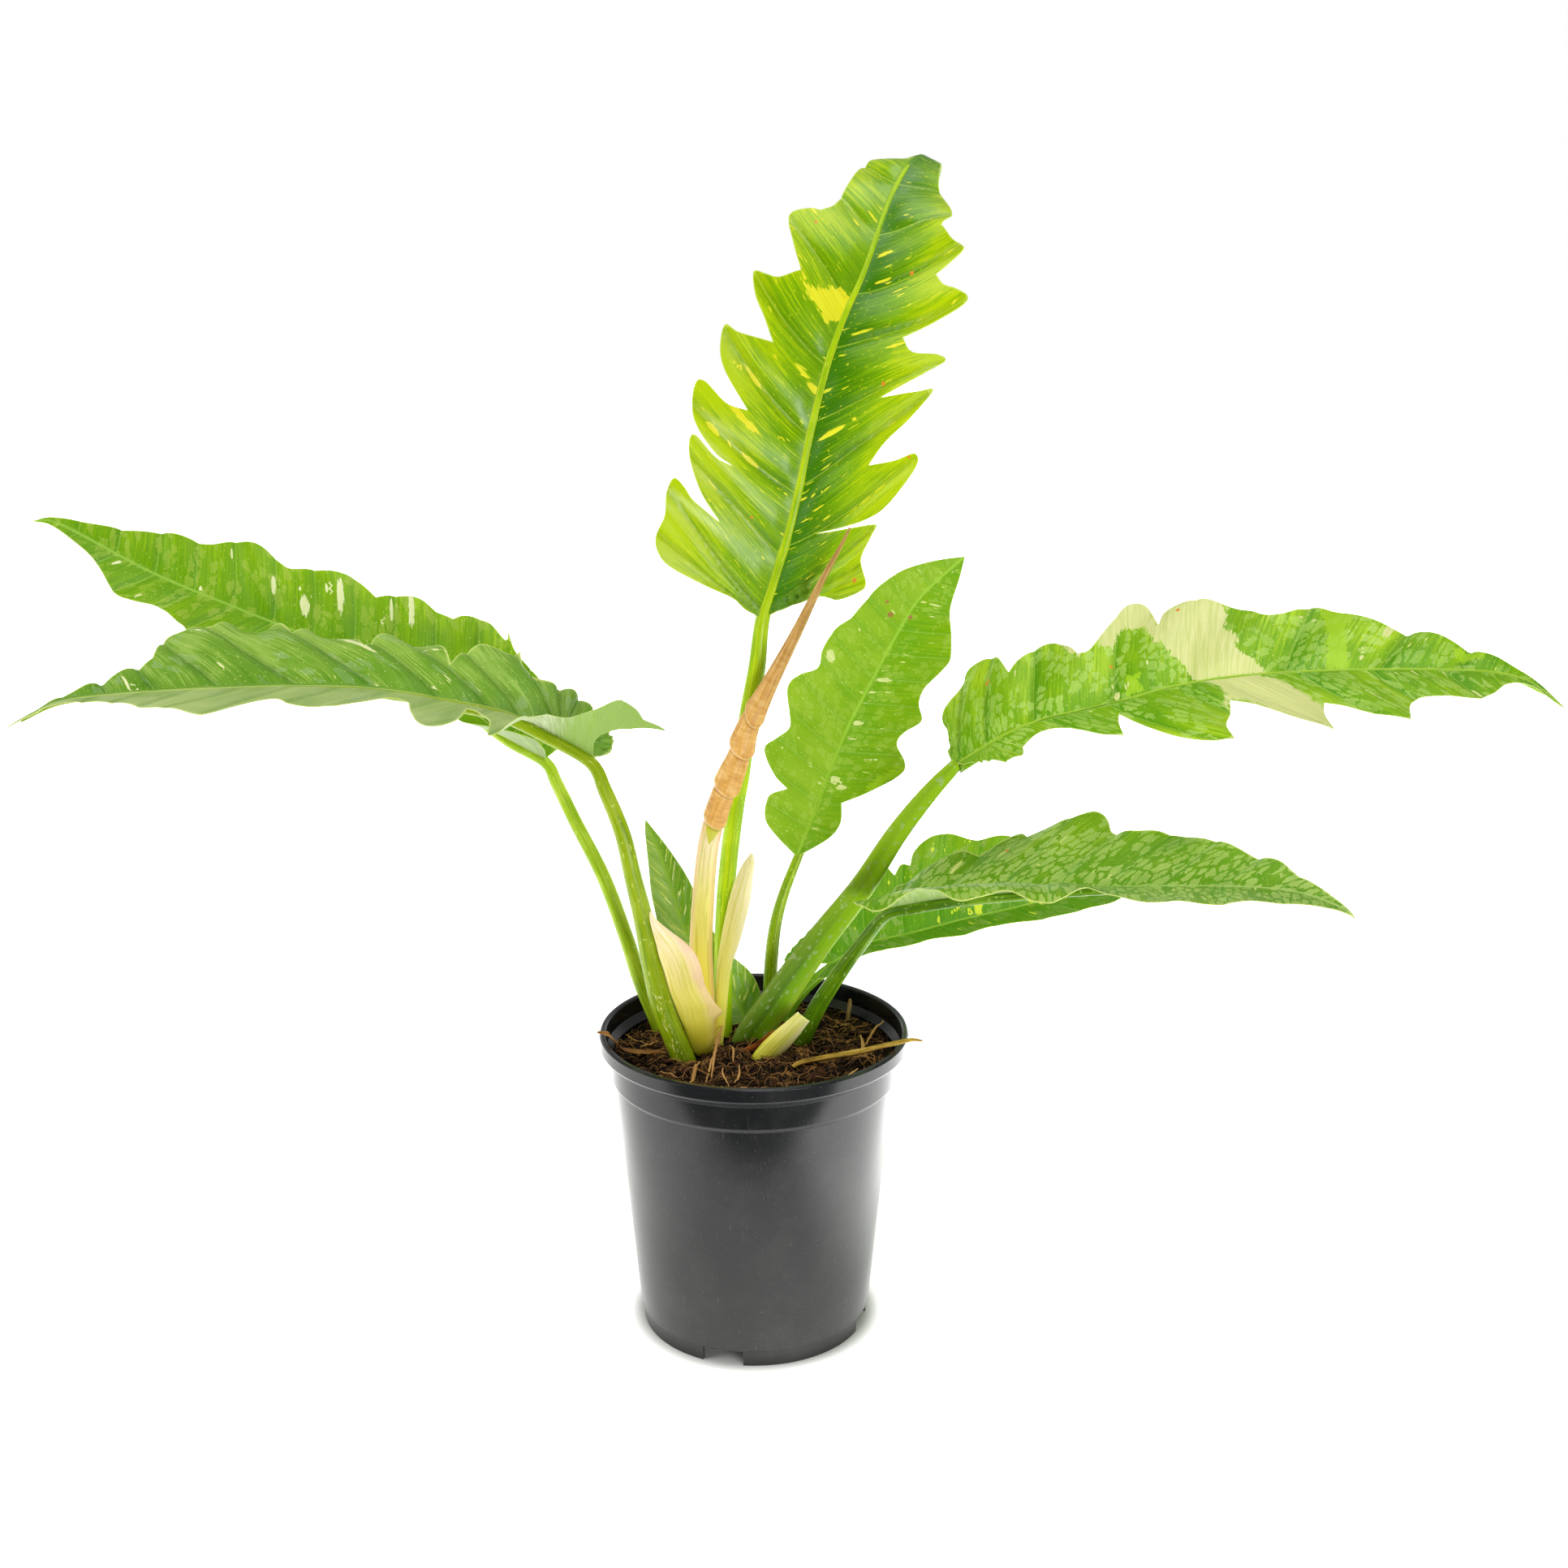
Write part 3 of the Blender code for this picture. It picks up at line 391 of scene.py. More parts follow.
def makeLeaf(name, leaf, node, slotName):
    rib = Midrib(leaf)
    flat, faces, outline = bladeSkin(leaf, rib)
    out, along = flat[:, 0], flat[:, 1]
    middle = rib.points(along, out)
    number, run = veinPlace(leaf, rib.length, along, out)
    depth = np.maximum(distanceInside(flat, outline), 0)

    # two skins a blade's thickness apart, joined along the margin
    triangles = np.array([f[:3] for f in faces] + [(f[0], *f[2:]) for f in faces if len(f) == 4])
    a, b, c = (middle[triangles[:, k]] for k in range(3))
    normals = np.zeros_like(middle)
    for k in range(3):
        np.add.at(normals, triangles[:, k], np.cross(b - a, c - a))
    normals = unit(normals)
    upper = np.sign((normals * rib.frameAt(along)[2]).sum(-1).mean())
    normals *= upper
    thin, full = leafDetail["marginThickness"], leafDetail["thickness"]
    half = normals * (thin + (full - thin) * smoothStep(depth, 0, 4))[:, None] / 2
    count = len(flat)
    if upper < 0:
        faces = [f[::-1] for f in faces]
    rim = outerLoop(faces)
    shell = faces + [tuple(i + count for i in f[::-1]) for f in faces]
    shell += [(b, a, a + count, b + count) for a, b in rim]
    faceMaterials = [0] * len(faces) + [1] * len(faces) + [0] * len(rim)
    sharp = np.zeros(count * 2, np.int32)
    for a, _ in rim:
        sharp[a], sharp[a + count] = 1, 2

    # stalk and raised midrib as one tapering strand, or two where the stalk is flat
    ribWidth = leaf["stalk"][-1][3] if "stalk" in leaf else 3.4
    stations = np.linspace(0, 0.96, 14)
    ribCentre, _, ribNormal = rib.frameAt(stations * rib.length)
    radius = ribWidth * (1 - stations) ** 0.8 * 0.8 + 0.45
    ribLine = ribCentre - ribNormal * (radius * leaf.get("ribSunk", 0.85))[:, None]
    ribSections = [(*p, 2 * r, 2 * r) for p, r in zip(ribLine, radius)]
    if "stalk" in leaf:
        stalkSections = [(x, y, z, 2 * r, 2 * r) for x, y, z, r in leaf["stalk"][:-1]]
        strands = [sweep(stalkSections + ribSections, 20, 3.0, face=(0, -1, 0.3))]
    else:
        strands = [sweep(leaf["flatStalk"], 28, 3.0, ring=channelRing),
                   sweep(ribSections, 16, 3.0, face=(0, -0.3, 1))]

    points = [middle + half, middle - half]
    strandPlace = [np.zeros((2 * count, 3))]
    first = 2 * count
    for skin, skinFaces, strand in strands:
        shell += [tuple(i + first for i in f) for f in skinFaces]
        faceMaterials += [2] * len(skinFaces)
        points.append(skin)
        strandPlace.append(strand)
        first += len(skin)
    # the blade's fields are the same on both skins, and plain on the stalk
    blade = dict(
        bladePlace=(np.stack([out, along, depth], -1), 0),
        veinPlace=(np.stack([number, run, np.where(out > 0, 50.0, 0.0)], -1), 0),
        markPlace=(nearestMark(leaf, rib.length, along, out, number, run), 9),
        patchDepth=(patchDepths(leaf, along, out), -30),
    )
    rest = np.ones((first - 2 * count, 3))
    fields = {key: np.vstack([values, values, rest * plain]) for key, (values, plain) in blade.items()}
    fields["strandPlace"] = np.vstack(strandPlace)
    sharp = np.append(sharp, np.zeros(len(rest), np.int32))
    look = {**leafLook, **leaf["look"]}
    materials = [bladeMaterial(name + "_upper", leaf["veinGap"], look),
                 undersideMaterial(name + "_under", leaf["veinGap"], look),
                 stalkMaterial(name + "_stalk", look)]
    makePiece(name, np.vstack(points), shell, materials, slotName, [node], fields, faceMaterials, sharp)
    print("leaf", name, "length", round(rib.length), "mm,", len(shell), "faces")


# Living leaf blade with a waxy cuticle: half-gloss, fine parallel veins, mottled where cells lack green.
def bladeMaterial(name, gap, look):
    material, add = newMaterial(name, look["roughness"], specular=look["specular"])
    place, veins, marks, patches = (add("Attribute", out="Vector", attribute_name=key)
                                    for key in ("bladePlace", "veinPlace", "markPlace", "patchDepth"))
    out, along, depth = add("SeparateXYZ", (place,), out=None)
    number, run, _ = add("SeparateXYZ", (veins,), out=None)
    # millimetres square to the side veins, and shrunk along them, so that a pattern runs with the veins
    alongVeins, hairs, small = (add("VectorMath", (veins, (gap, shrink, 1)), operation="MULTIPLY")
                                for shrink in (0.2, 0.03, 0.6))
    streaks = add("TexNoise", {"Vector": alongVeins, "Scale": 0.3, "Detail": 2.0})
    ribs = add("TexNoise", {"Vector": hairs, "Scale": 1.1, "Detail": 3.0, "Roughness": 0.7})
    broad = add("TexNoise", {"Vector": place, "Scale": 0.03, "Detail": 2.0})
    tone = 0.1
    for field, key in ((ribs, "ribTone"), (streaks, "streakTone"), (broad, "broadTone")):
        tone = add("Math", (field, look[key], tone), operation="MULTIPLY_ADD")
    outward = add("MapRange", (run, 0.0, 55.0, -look["ribShade"], look["marginLight"]))
    tone = add("Math", (tone, outward), operation="ADD")
    if look["tipLight"]:
        start, end, more = look["tipLight"]
        tip = add("MapRange", (along, start, end, 0.0, more))
        tone = add("Math", (tone, tip), operation="ADD")
    # painted shading of the pleats: each pleat is lighter towards the tip
    pleat = add("Math", (number, 1.0), operation="FLOORED_MODULO")
    pleat = add("Math", (pleat, 0.5), operation="SUBTRACT")
    tone = add("Math", (pleat, look["pleatShading"], tone), operation="MULTIPLY_ADD")
    # the half that turns from the light is deeper by the midrib
    turned = add("Math", (out, look["deepSide"]), operation="MULTIPLY")
    onSide = add("Math", (turned, 0.0), operation="GREATER_THAN")
    nearRib = add("MapRange", (turned, 0.0, 30.0, look["sideShade"], 0.0))
    nearRib = add("Math", (nearRib, onSide), operation="MULTIPLY")
    tone = add("Math", (tone, nearRib), operation="SUBTRACT")
    colour = add("ValToRGB", (tone,), stops=[(0.45, look["deep"]), (0.85, look["mid"]), (1.0, look["light"])])
    layers = []
    if look["paintedSheen"]:  # painted sheen: one half is paler in broad patches, as if it reflected the light
        share = add("MapRange", (broad, 0.35, 0.6, look["sheenMix"] * 0.6, look["sheenMix"]))
        beyond = add("MapRange", (along, look["sheenFrom"], look["sheenFrom"] + 16))
        for mask in (onSide, beyond):
            share = add("Math", (share, mask), operation="MULTIPLY")
        layers.append((share, look["paintedSheen"]))
    # distance from the nearest side vein: painted shade makes the blade deeper green in the valley beside it
    odd = add("Math", (number, 1.0), operation="PINGPONG")
    even = add("Math", (1.0, odd), operation="SUBTRACT")
    near = add("Math", (odd, even), operation="MINIMUM")
    near = add("Math", (near, gap), operation="MULTIPLY")
    beside = add("MapRange", (near, 0.3, 4.5, look["veinValleyShade"], 0.0))
    layers.append((beside, look["deep"]))
    if look["pale"]:
        # blotches where air lies under the skin, longer along the veins, each with a fine lighter rim
        cells = add("VectorMath", (veins, (gap, look["paleLong"], 1)), operation="MULTIPLY")
        bent = add("TexNoise", {"Vector": cells, "Scale": 0.45, "Detail": 4.0, "Roughness": 0.65},
                   out="Color")
        cells = add("VectorMath", (bent, (5.0, 5.0, 0), cells), operation="MULTIPLY_ADD")
        spots, border = (add("TexVoronoi", {"Vector": cells, "Scale": look["paleScale"]}, out=None,
                             feature=feature, voronoi_dimensions="2D")
                         for feature in ("F1", "DISTANCE_TO_EDGE"))
        pick, vary, _ = add("SeparateXYZ", (spots["Color"],), out=None)
        inset = add("MapRange", (vary, 0.0, 1.0, 0.06, 0.2))
        deep = add("Math", (border["Distance"], inset), operation="SUBTRACT")
        chosen = add("Math", (pick, look["paleShare"]), operation="LESS_THAN")
        inside = add("MapRange", (deep, 0.0, 0.04, 0.0, look["paleMix"]))
        inside = add("Math", (inside, chosen), operation="MULTIPLY")
        faded = add("Math", (broad, inside), operation="MULTIPLY")
        inside = add("Math", (faded, 2.0), operation="MULTIPLY")
        rimLine = add("Math", (deep, 0.03, 0.018), operation="COMPARE")
        rimLine = add("Math", (rimLine, inside), operation="MULTIPLY")
        layers += [(inside, look["pale"]), (rimLine, look["paleRim"])]
    # fine flecks that follow the veins
    speck = add("TexNoise", {"Vector": alongVeins, "Scale": 0.6, "Detail": 1.5})
    share = add("ValToRGB", (speck,), stops=[(look["fleckFrom"], 0.0), (look["fleckFrom"] + 0.012, 1.0)])
    layers.append((share, look["fleck"]))
    # points of a millimetre or less where the skin lacks green
    dots = add("TexVoronoi", {"Vector": small, "Scale": 0.4}, out=None, feature="F1", voronoi_dimensions="2D")
    rare = add("Math", (add("SeparateXYZ", (dots["Color"],)), 0.12), operation="MULTIPLY")
    share = add("Math", (dots["Distance"], rare), operation="LESS_THAN")
    share = add("Math", (share, look["dotMix"]), operation="MULTIPLY")
    layers.append((share, look["fleck"]))
    # side veins as fine lines
    line = add("MapRange", (near, 0.15, 0.55, look["veinMix"], 0.0))
    layers.append((line, look["vein"]))
    # listed flecks, and whole sectors without green: their edges are ragged along the veins
    rough = add("TexNoise", {"Vector": alongVeins, "Scale": 1.0, "Detail": 2.0})
    ribbed = add("ValToRGB", (ribs,), stops=[(0.4, 0.0), (0.62, 1.0)])
    bare = add("Mix", {0: ribbed, 6: look["markShade"], 7: look["mark"]}, out=2, data_type="RGBA")
    flatMark = add("VectorMath", (marks, (1, 1, 0)), operation="MULTIPLY")
    size = add("VectorMath", (flatMark,), out="Value", operation="LENGTH")
    jag = add("Math", (rough, 1.3, size), operation="MULTIPLY_ADD")
    inMark = add("MapRange", (jag, 1.55, 1.68, 1.0, 0.0))
    close = add("Math", (add("SeparateXYZ", (marks,), out=2), 2.6), operation="LESS_THAN")
    inMark = add("Math", (inMark, close), operation="MULTIPLY")
    sectors = add("SeparateXYZ", (patches,), out=None)
    for index, fill in ((1, look["lime"]), (0, bare), (2, look["scar"])):
        span = look["patchJag"] if index < 2 else 1.0
        ragged = add("Math", (rough, span, sectors[index]), operation="MULTIPLY_ADD")
        inside = add("MapRange", (ragged, span / 2 - 0.15, span / 2 + 0.15))
        if index == 0:
            inside = add("Math", (inside, inMark), operation="MAXIMUM")
        elif index == 1:
            inside = add("Math", (inside, 0.75), operation="MULTIPLY")
        layers.append((inside, fill))
    # midrib and margin
    side = add("Math", (out,), operation="ABSOLUTE")
    for field, start, end, most, fill in ((side, 0.5, look["ribLine"], 0.85, look["rib"]),
                                          (depth, 0.15, look["edgeWidth"], 0.75, look["edge"])):
        share = add("MapRange", (field, start, end, most, 0.0))
        layers.append((share, fill))
    # the cuticle's gloss varies; the finest veins and the skin cells stand in relief
    gloss = add("MapRange", (broad, 0.3, 0.7, look["roughness"] - 0.05, look["roughness"] + 0.07))
    grain = add("TexNoise", {"Vector": place, "Scale": 1.6, "Detail": 2.0})
    height = add("Math", (grain, 0.25, ribs), operation="MULTIPLY_ADD")
    return finishMaterial(material, colour, layers, height, look["bump"], 0.0005, Roughness=gloss)


# Leaf underside: the cuticle is thinner and duller there, and air under it makes it pale grey-green.
def undersideMaterial(name, gap, look):
    material, add = newMaterial(name, 0.55, specular=0.3)
    place, veins, patches = (add("Attribute", out="Vector", attribute_name=key)
                             for key in ("bladePlace", "veinPlace", "patchDepth"))
    fine = add("VectorMath", (veins, (gap, 0.12, 1)), operation="MULTIPLY")
    streaks = add("TexNoise", {"Vector": fine, "Scale": 0.8, "Detail": 3.0})
    colour = add("ValToRGB", (streaks,), stops=[(0.35, look["underDeep"]), (0.65, look["under"])])
    near = add("Math", (add("SeparateXYZ", (veins,)), 1.0), operation="PINGPONG")
    line = add("MapRange", (near, 0.02, 0.08, 0.5, 0.0))
    layers = [(line, look["rib"])]
    if look["underBase"]:
        share = add("MapRange", (add("SeparateXYZ", (place,), out=1), 16.0, 30.0, 0.85, 0.0))
        layers.append((share, look["underBase"]))
    inPatch = add("MapRange", (add("SeparateXYZ", (patches,)), -0.5, 0.5))
    layers.append((inPatch, look["mark"]))
    return finishMaterial(material, colour, layers, streaks, 0.3, 0.0005)


# Fleshy green stalk: smooth satin skin with fine lengthwise fibres and pale specks.
def stalkMaterial(name, look):
    material, add = newMaterial(name, 0.36, specular=0.3)
    strand = add("Attribute", out="Vector", attribute_name="strandPlace")
    across, _, along = add("SeparateXYZ", (strand,), out=None)
    long, thin, squeeze = (add("VectorMath", (strand, (1, 1, shrink)), operation="MULTIPLY")
                           for shrink in (0.04, 0.25, 0.5))
    fibre = add("TexNoise", {"Vector": long, "Scale": 0.9, "Detail": 3.0})
    broad = add("TexNoise", {"Vector": strand, "Scale": 0.05, "Detail": 2.0})
    mixed = add("Math", (fibre, 0.6), operation="MULTIPLY")
    mixed = add("Math", (broad, 0.4, mixed), operation="MULTIPLY_ADD")
    spread = look["stalkSpread"]
    colour = add("ValToRGB", (mixed,), stops=[(0.5 - spread, look["stalkDeep"]), (0.5, look["stalk"]),
                                              (0.5 + spread, look["stalkLight"])])
    layers = []
    if look["stalkBandsAndLitSide"]:  # a broad stalk is ribbed lengthwise, deeper green in its channel, with painted light making one side the lightest
        share = add("MapRange", (across, -8.0, 8.0))
        layers.append((0.6, add("ValToRGB", (share,), stops=look["stalkBandsAndLitSide"])))
    for middle, half in look["stalkLines"]:
        line = add("Math", (across, middle, half), operation="COMPARE")
        layers.append((add("Math", (line, 0.5), operation="MULTIPLY"), "#D9DC3A"))
    if look["stalkTop"]:  # the upper end is lighter
        start, end, fill = look["stalkTop"]
        share = add("MapRange", (along, start, end, 0.0, 0.7))
        layers.append((share, fill))
    if look["flecked"]:  # cream streaks lie on the front of the stalk's base
        start, end = look["flecked"]
        streaks = add("TexNoise", {"Vector": thin, "Scale": 1.7, "Detail": 1.0})
        share = add("ValToRGB", (streaks,), stops=[(0.6, 0.0), (0.62, 0.9)])
        for place, centre, half in ((across, -0.6, 1.9), (along, (start + end) / 2, (end - start) / 2)):
            here = add("Math", (place, centre, half), operation="COMPARE")
            share = add("Math", (share, here), operation="MULTIPLY")
        layers.append((share, "#EAE596"))
    specks = add("TexNoise", {"Vector": squeeze, "Scale": look["speckScale"], "Detail": 1.0})
    share = add("ValToRGB", (specks,), stops=[(look["speckFrom"], 0.0), (look["speckFrom"] + 0.03, 0.55)])
    layers.append((share, look["stalkSpeck"]))
    return finishMaterial(material, colour, layers, fibre, 0.3, 0.0005)


topLeaf = dict(
    stalk=[(-15, 17, 131, 4.6), (-17, 20, 151, 4.9), (-17, 18, 190, 4.9), (-15, 15, 237, 4.8),
           (-10, 11, 283, 4.7), (-6.5, 8, 304, 4.7), (-2.8, 6, 335, 4.6), (2, 3, 361, 4.5),
           (5, 0, 387, 4.1)],
    midrib=[(5, 0, 387), (20, -6, 439), (30, -4, 486), (41, 4, 525), (56, 18, 559), (70, 42, 595),
            (82, 64, 613), (91, 84, 614), (98, 104, 604)],
    face=(0, -1, 0.15),
    tipFace=(-0.3, -0.45, 0.85),
    leftFolds=[(0, 12), (214, 12), (262, -14)],
    rightFolds=[(0, 12), (214, 12), (250, -28)],
    left=[(4, 10), (8, 19), (11, 35), (15, 52), (20, 60), (28, 64), (42, 62), (55, 64), (63, 62), (59, 56),
          (53, 50), (45, 35, "cut"), (57, 47), (73, 56), (84, 58), (86, 55), (78, 44), (75, 35, "cut"),
          (80, 45), (93, 58), (106, 61), (109, 57), (102, 44), (101, 33, "cut"), (114, 47), (123, 53),
          (133, 54), (132, 46), (133, 29, "cut"), (142, 37), (149, 45), (157, 50), (158, 44), (159, 37),
          (166, 29, "cut"), (175, 36), (190, 43), (198, 44), (203, 36), (204, 30, "cut"), (210, 25),
          (220, 23), (232, 22), (250, 23), (268, 21), (288, 13)],
    right=[(6, 5), (14, 14), (23, 25), (24, 34), (35, 45), (46, 39), (57, 41), (62, 42), (59, 32),
           (51, 14, "cut"), (63, 36), (73, 46), (92, 55), (99, 53), (93, 44), (88, 32, "cut"), (102, 38),
           (116, 47), (132, 54), (129, 46), (122, 30, "cut"), (132, 40), (140, 47), (153, 55), (155, 50),
           (151, 38), (157, 31, "cut"), (170, 43), (181, 54), (184, 47), (185, 40), (189, 35, "cut"),
           (197, 41), (204, 45), (206, 38), (212, 31, "cut"), (222, 33), (231, 30), (244, 22), (262, 15),
           (286, 7)],
    veinGap=29.0,
    veinLean=38.0,
    leftVeins=[(3, 43), (35, 72), (67, 92), (96, 129), (131, 157), (163, 199), (203, 240), (236, 272)],
    rightVeins=[(8, 74), (40, 91), (71, 127), (103, 146), (140, 179), (169, 210), (203, 236), (236, 268)],
    quilt=(4.2, 3.0),
    ribSunk=0.45,
    marks=[(116, -34, 11, 2.4), (125, -12, 7, 1.9), (118, -3, 8.4, 3.5), (235, -26, 6, 1.2),
           (212, -5, 5.9, 1.3), (206, -12, 3.7, 1.0), (203, -34, 6, 1.6), (189, -41, 3.6, 1.0),
           (193, 7, 6.5, 2.1), (180, 11, 6.3, 1.5), (178, 20, 6.3, 0.9), (152, 11, 8.6, 1.6),
           (152, 30, 10.6, 2.0), (100, 11, 12, 3.1), (109, 20, 9, 0.8), (97, -34, 19.6, 3.1),
           (90, -48, 8.6, 3.3), (79, -27, 10.7, 2.8), (127, -26, 3.2, 0.8), (119, -44, 3.5, 0.8),
           (241, 24, 6, 1.4), (216, 24, 2.8, 0.8), (179, 48, 1.8, 1.0), (63, -43, 5.7, 1.3),
           (54, -42, 3.3, 1.1), (75, 37, 17, 1.2), (72, 13, 3.6, 1.0), (91, 11, 2.5, 0.8), (56, 7, 3.7, 0.9),
           (60, 17, 3.5, 1.1), (65, 3, 4.3, 1.2), (36, 31, 3.6, 1.1), (31, 17, 6.4, 0.8),
           (13, -37, 3.9, 0.8), (32, -9, 2.2, 0.9), (66, -6, 2.2, 0.9), (92, -13, 2.5, 0.8)],
    patches=[[(172, -33), (164, -26), (162, -21), (163, -16), (167, -12), (168, -7), (167, 0), (159, 0),
              (154, 0), (152, -4), (150, -8), (154, -14), (157, -19), (161, -25)]],
    scars=[((130, 30), 1.2), ((188, 24), 1.0), ((36, 38), 1.2), ((96, 50), 1.0), ((50, -20), 0.9),
           ((196, -30), 0.9)],
    look=dict(deep="#407C00", mid="#82B200", light="#BAD500", mark="#F2EE34", markShade="#E6E21C",
              fleck="#DDE32A", fleckFrom=0.69, rib="#5E9502", vein="#BCDC45", edge="#CBE34A",
              under="#98AF68", underDeep="#829C52", roughness=0.26, ribShade=0.06, marginLight=0.26,
              tipLight=(180, 280, 0.16), sideShade=0.4, broadTone=0.2, ribLine=2.0, specular=0.4,
              edgeWidth=0.7, stalkDeep="#87B300", stalk="#A2C900", stalkLight="#C0DC09",
              stalkSpeck="#C9DE4A", stalkLines=[(-1.3, 0.22), (1.4, 0.18)], streakTone=0.3),
)
makeLeaf("top_upright_leaf", topLeaf, "leaf_top_upright", "young_leaf")

leftBackLeaf = dict(
    stalk=[(-47, 20, 131, 4.4), (-51, 27, 151, 4.6), (-62.5, 30, 181, 4.3), (-70.5, 34, 206, 4.1),
           (-82, 38, 238, 3.9), (-97.5, 42, 269.5, 3.7), (-107, 44, 290, 3.5), (-113, 45, 303, 3.4)],
    midrib=[(-113, 45, 303), (-137, 55, 314), (-164, 66, 330), (-225, 86, 353), (-286, 102, 374),
            (-338, 114, 393), (-391, 124, 419), (-408, 126, 421)],
    face=(0.05, -0.62, 0.78),
    leftFolds=[(0, 75), (40, 50), (100, 42), (190, 5)],
    rightFolds=[(0, 18), (330, 18)],
    left=[(-2, 8), (-2, 20), (6, 30), (16, 33), (40, 33), (64, 36), (76, 30, "cut"), (92, 38), (118, 38),
          (140, 34), (150, 28, "cut"), (168, 36), (190, 32), (206, 32), (218, 26, "cut"), (222, 25),
          (236, 20), (251, 24), (262, 24), (284, 11), (312, 4), (324, 2)],
    right=[(-4, 12), (0, 24), (14, 33), (34, 37), (50, 41), (59, 50, "cut"), (58, 45), (69, 50), (80, 46),
           (86, 41, "cut"), (98, 43), (111, 46), (123, 40), (131, 35, "cut"), (147, 42), (157, 42),
           (170, 37), (183, 33), (194, 36), (207, 39), (220, 35), (233, 29), (257, 25), (268, 20), (291, 11),
           (318, 3)],
    veinGap=25.0,
    veinLean=26.0,
    quilt=(1.2, 2.6),
    marks=[(165, 15, 11.4, 5.7), (150, 29, 20.1, 4.5), (120, 32, 11.3, 2.3), (110, 37, 18.6, 3.8),
           (188, 21, 10.1, 3.0), (273, -5, 4.9, 2.5), (250, -19, 4.7, 1.5), (224, 2, 4.3, 2.3),
           (159, 30, 5.3, 1.7), (172, 23, 3.4, 1.3), (121, 23, 2.8, 1.1), (218, 28, 5.1, 1.5)],
    look=dict(deep="#4D8B00", mid="#7DAD00", light="#9CC606", pale="#A2BE41", paleRim="#C5D661",
              paleShare=0.35, paleMix=0.45, mark="#EBEFBE", markShade="#DDE6A0", fleck="#D9E27A",
              rib="#94C23E", vein="#A6CC4A", edge="#C9DE6A", under="#98AD6F", underDeep="#809A58",
              roughness=0.36, stalkDeep="#87AE10", stalk="#A2C41C", stalkLight="#BDD644",
              stalkSpeck="#C4DA6A"),
)
makeLeaf("left_back_leaf", leftBackLeaf, "leaf_left_back", "leaf")

leftFrontLeaf = dict(
    stalk=[(-39, -4, 131, 5.6), (-36.3, -11, 148, 6), (-39.2, -12, 158, 6.1), (-47.7, -14, 183, 6),
           (-52.5, -17, 208, 5.7), (-56.5, -19, 233, 5.2), (-61.5, -20, 257, 4.6), (-66.5, -19, 280, 4.2),
           (-75, -17, 302, 3.8), (-81, -15, 319, 3.6)],
    midrib=[(-81, -15, 319), (-118, -12, 339), (-148, -8, 346), (-202, 0, 352), (-279, 12, 349),
            (-357, 28, 340), (-383, 35, 330), (-402, 40, 320)],
    face=(0, 0, 1),
    leftFolds=[(-30, 80), (0, 70), (30, 50), (44, 0), (56, -14), (90, -10), (160, -6)],
    rightFolds=[(0, 26), (200, 28)],
    left=[(3, 9), (0, 18), (-8, 25), (-19, 30), (-26, 34, "cut"), (-15, 33), (-7, 37), (2, 40), (10, 32),
          (20, 17), (30, 14), (36, 16), (39, 28), (44, 36), (50, 30), (54, 14), (62, 7), (68, 6, "cut"),
          (69, 18), (75, 31), (84, 33), (92, 22), (97, 12, "cut"), (108, 10), (121, 21), (139, 29),
          (152, 28), (164, 23), (178, 30), (190, 36), (201, 38), (222, 31), (241, 22), (276, 9), (308, 4),
          (328, 2.4)],
    right=[(-6, 8), (-4, 18), (6, 27), (22, 34), (35, 31), (44, 33), (53, 40), (58, 50, "cut"), (64, 47),
           (78, 44), (88, 28, "cut"), (99, 43), (116, 46), (130, 42), (134, 32, "cut"), (148, 48), (168, 53),
           (178, 46, "cut"), (191, 58), (215, 68), (226, 52, "cut"), (238, 53), (252, 49), (251, 26, "cut"),
           (262, 19), (275, 12), (290, 6), (314, 3), (330, 1.6)],
    veinGap=27.0,
    veinLean=44.0,
    rightVeins=[(20, 62), (42, 100), (58, 125), (85, 152), (118, 185), (160, 228), (203, 262), (240, 290)],
    quilt=(1.0, 4.6),
    marks=[(143, 37, 24, 3.8), (258, 6, 12, 1.9), (208, 17, 5.4, 1.1), (87, 15, 7.1, 0.9),
           (91, 9, 6.3, 0.9), (250, 2, 5.3, 0.9), (132, 48, 4.6, 0.9)],
    patches=[[(at - 5, out), (at + 2, out + 5), (at + 10, out + 7), (at + 16, out + 6), (at + 10, out + 8.4),
              (at + 1, out + 6.4)] for at, out in ((228, 42), (184, 44), (140, 34), (94, 32))],
    curls=[(112, 20, 1, 28, -2.0), (158, 20, 1, 30, -2.0), (205, 26, 1, 38, -1.8)],
    look=dict(deep="#437E0F", mid="#74A22B", light="#9DC053", pale="#9FBD83", paleRim="#B3CD92",
              paleShare=0.2, paleMix=0.3, edgeWidth=1.1, deepSide=-1, paintedSheen="#C9D593", sheenMix=0.6,
              sheenFrom=4, pleatShading=0.22, flecked=(18, 64), patchJag=0.6, mark="#EBEFB8",
              markShade="#DDE6A0", fleck="#D6E08A", rib="#B9D06A", vein="#A4C66A", edge="#DDE98A",
              underBase="#91B645", under="#D4E0B6", underDeep="#A3B67A", roughness=0.34, stalkDeep="#749403",
              stalk="#90AA06", stalkLight="#9EB528", stalkSpeck="#DDE07A", speckFrom=0.68, streakTone=0.3),
)
makeLeaf("left_front_leaf", leftFrontLeaf, "leaf_left_front", "leaf")

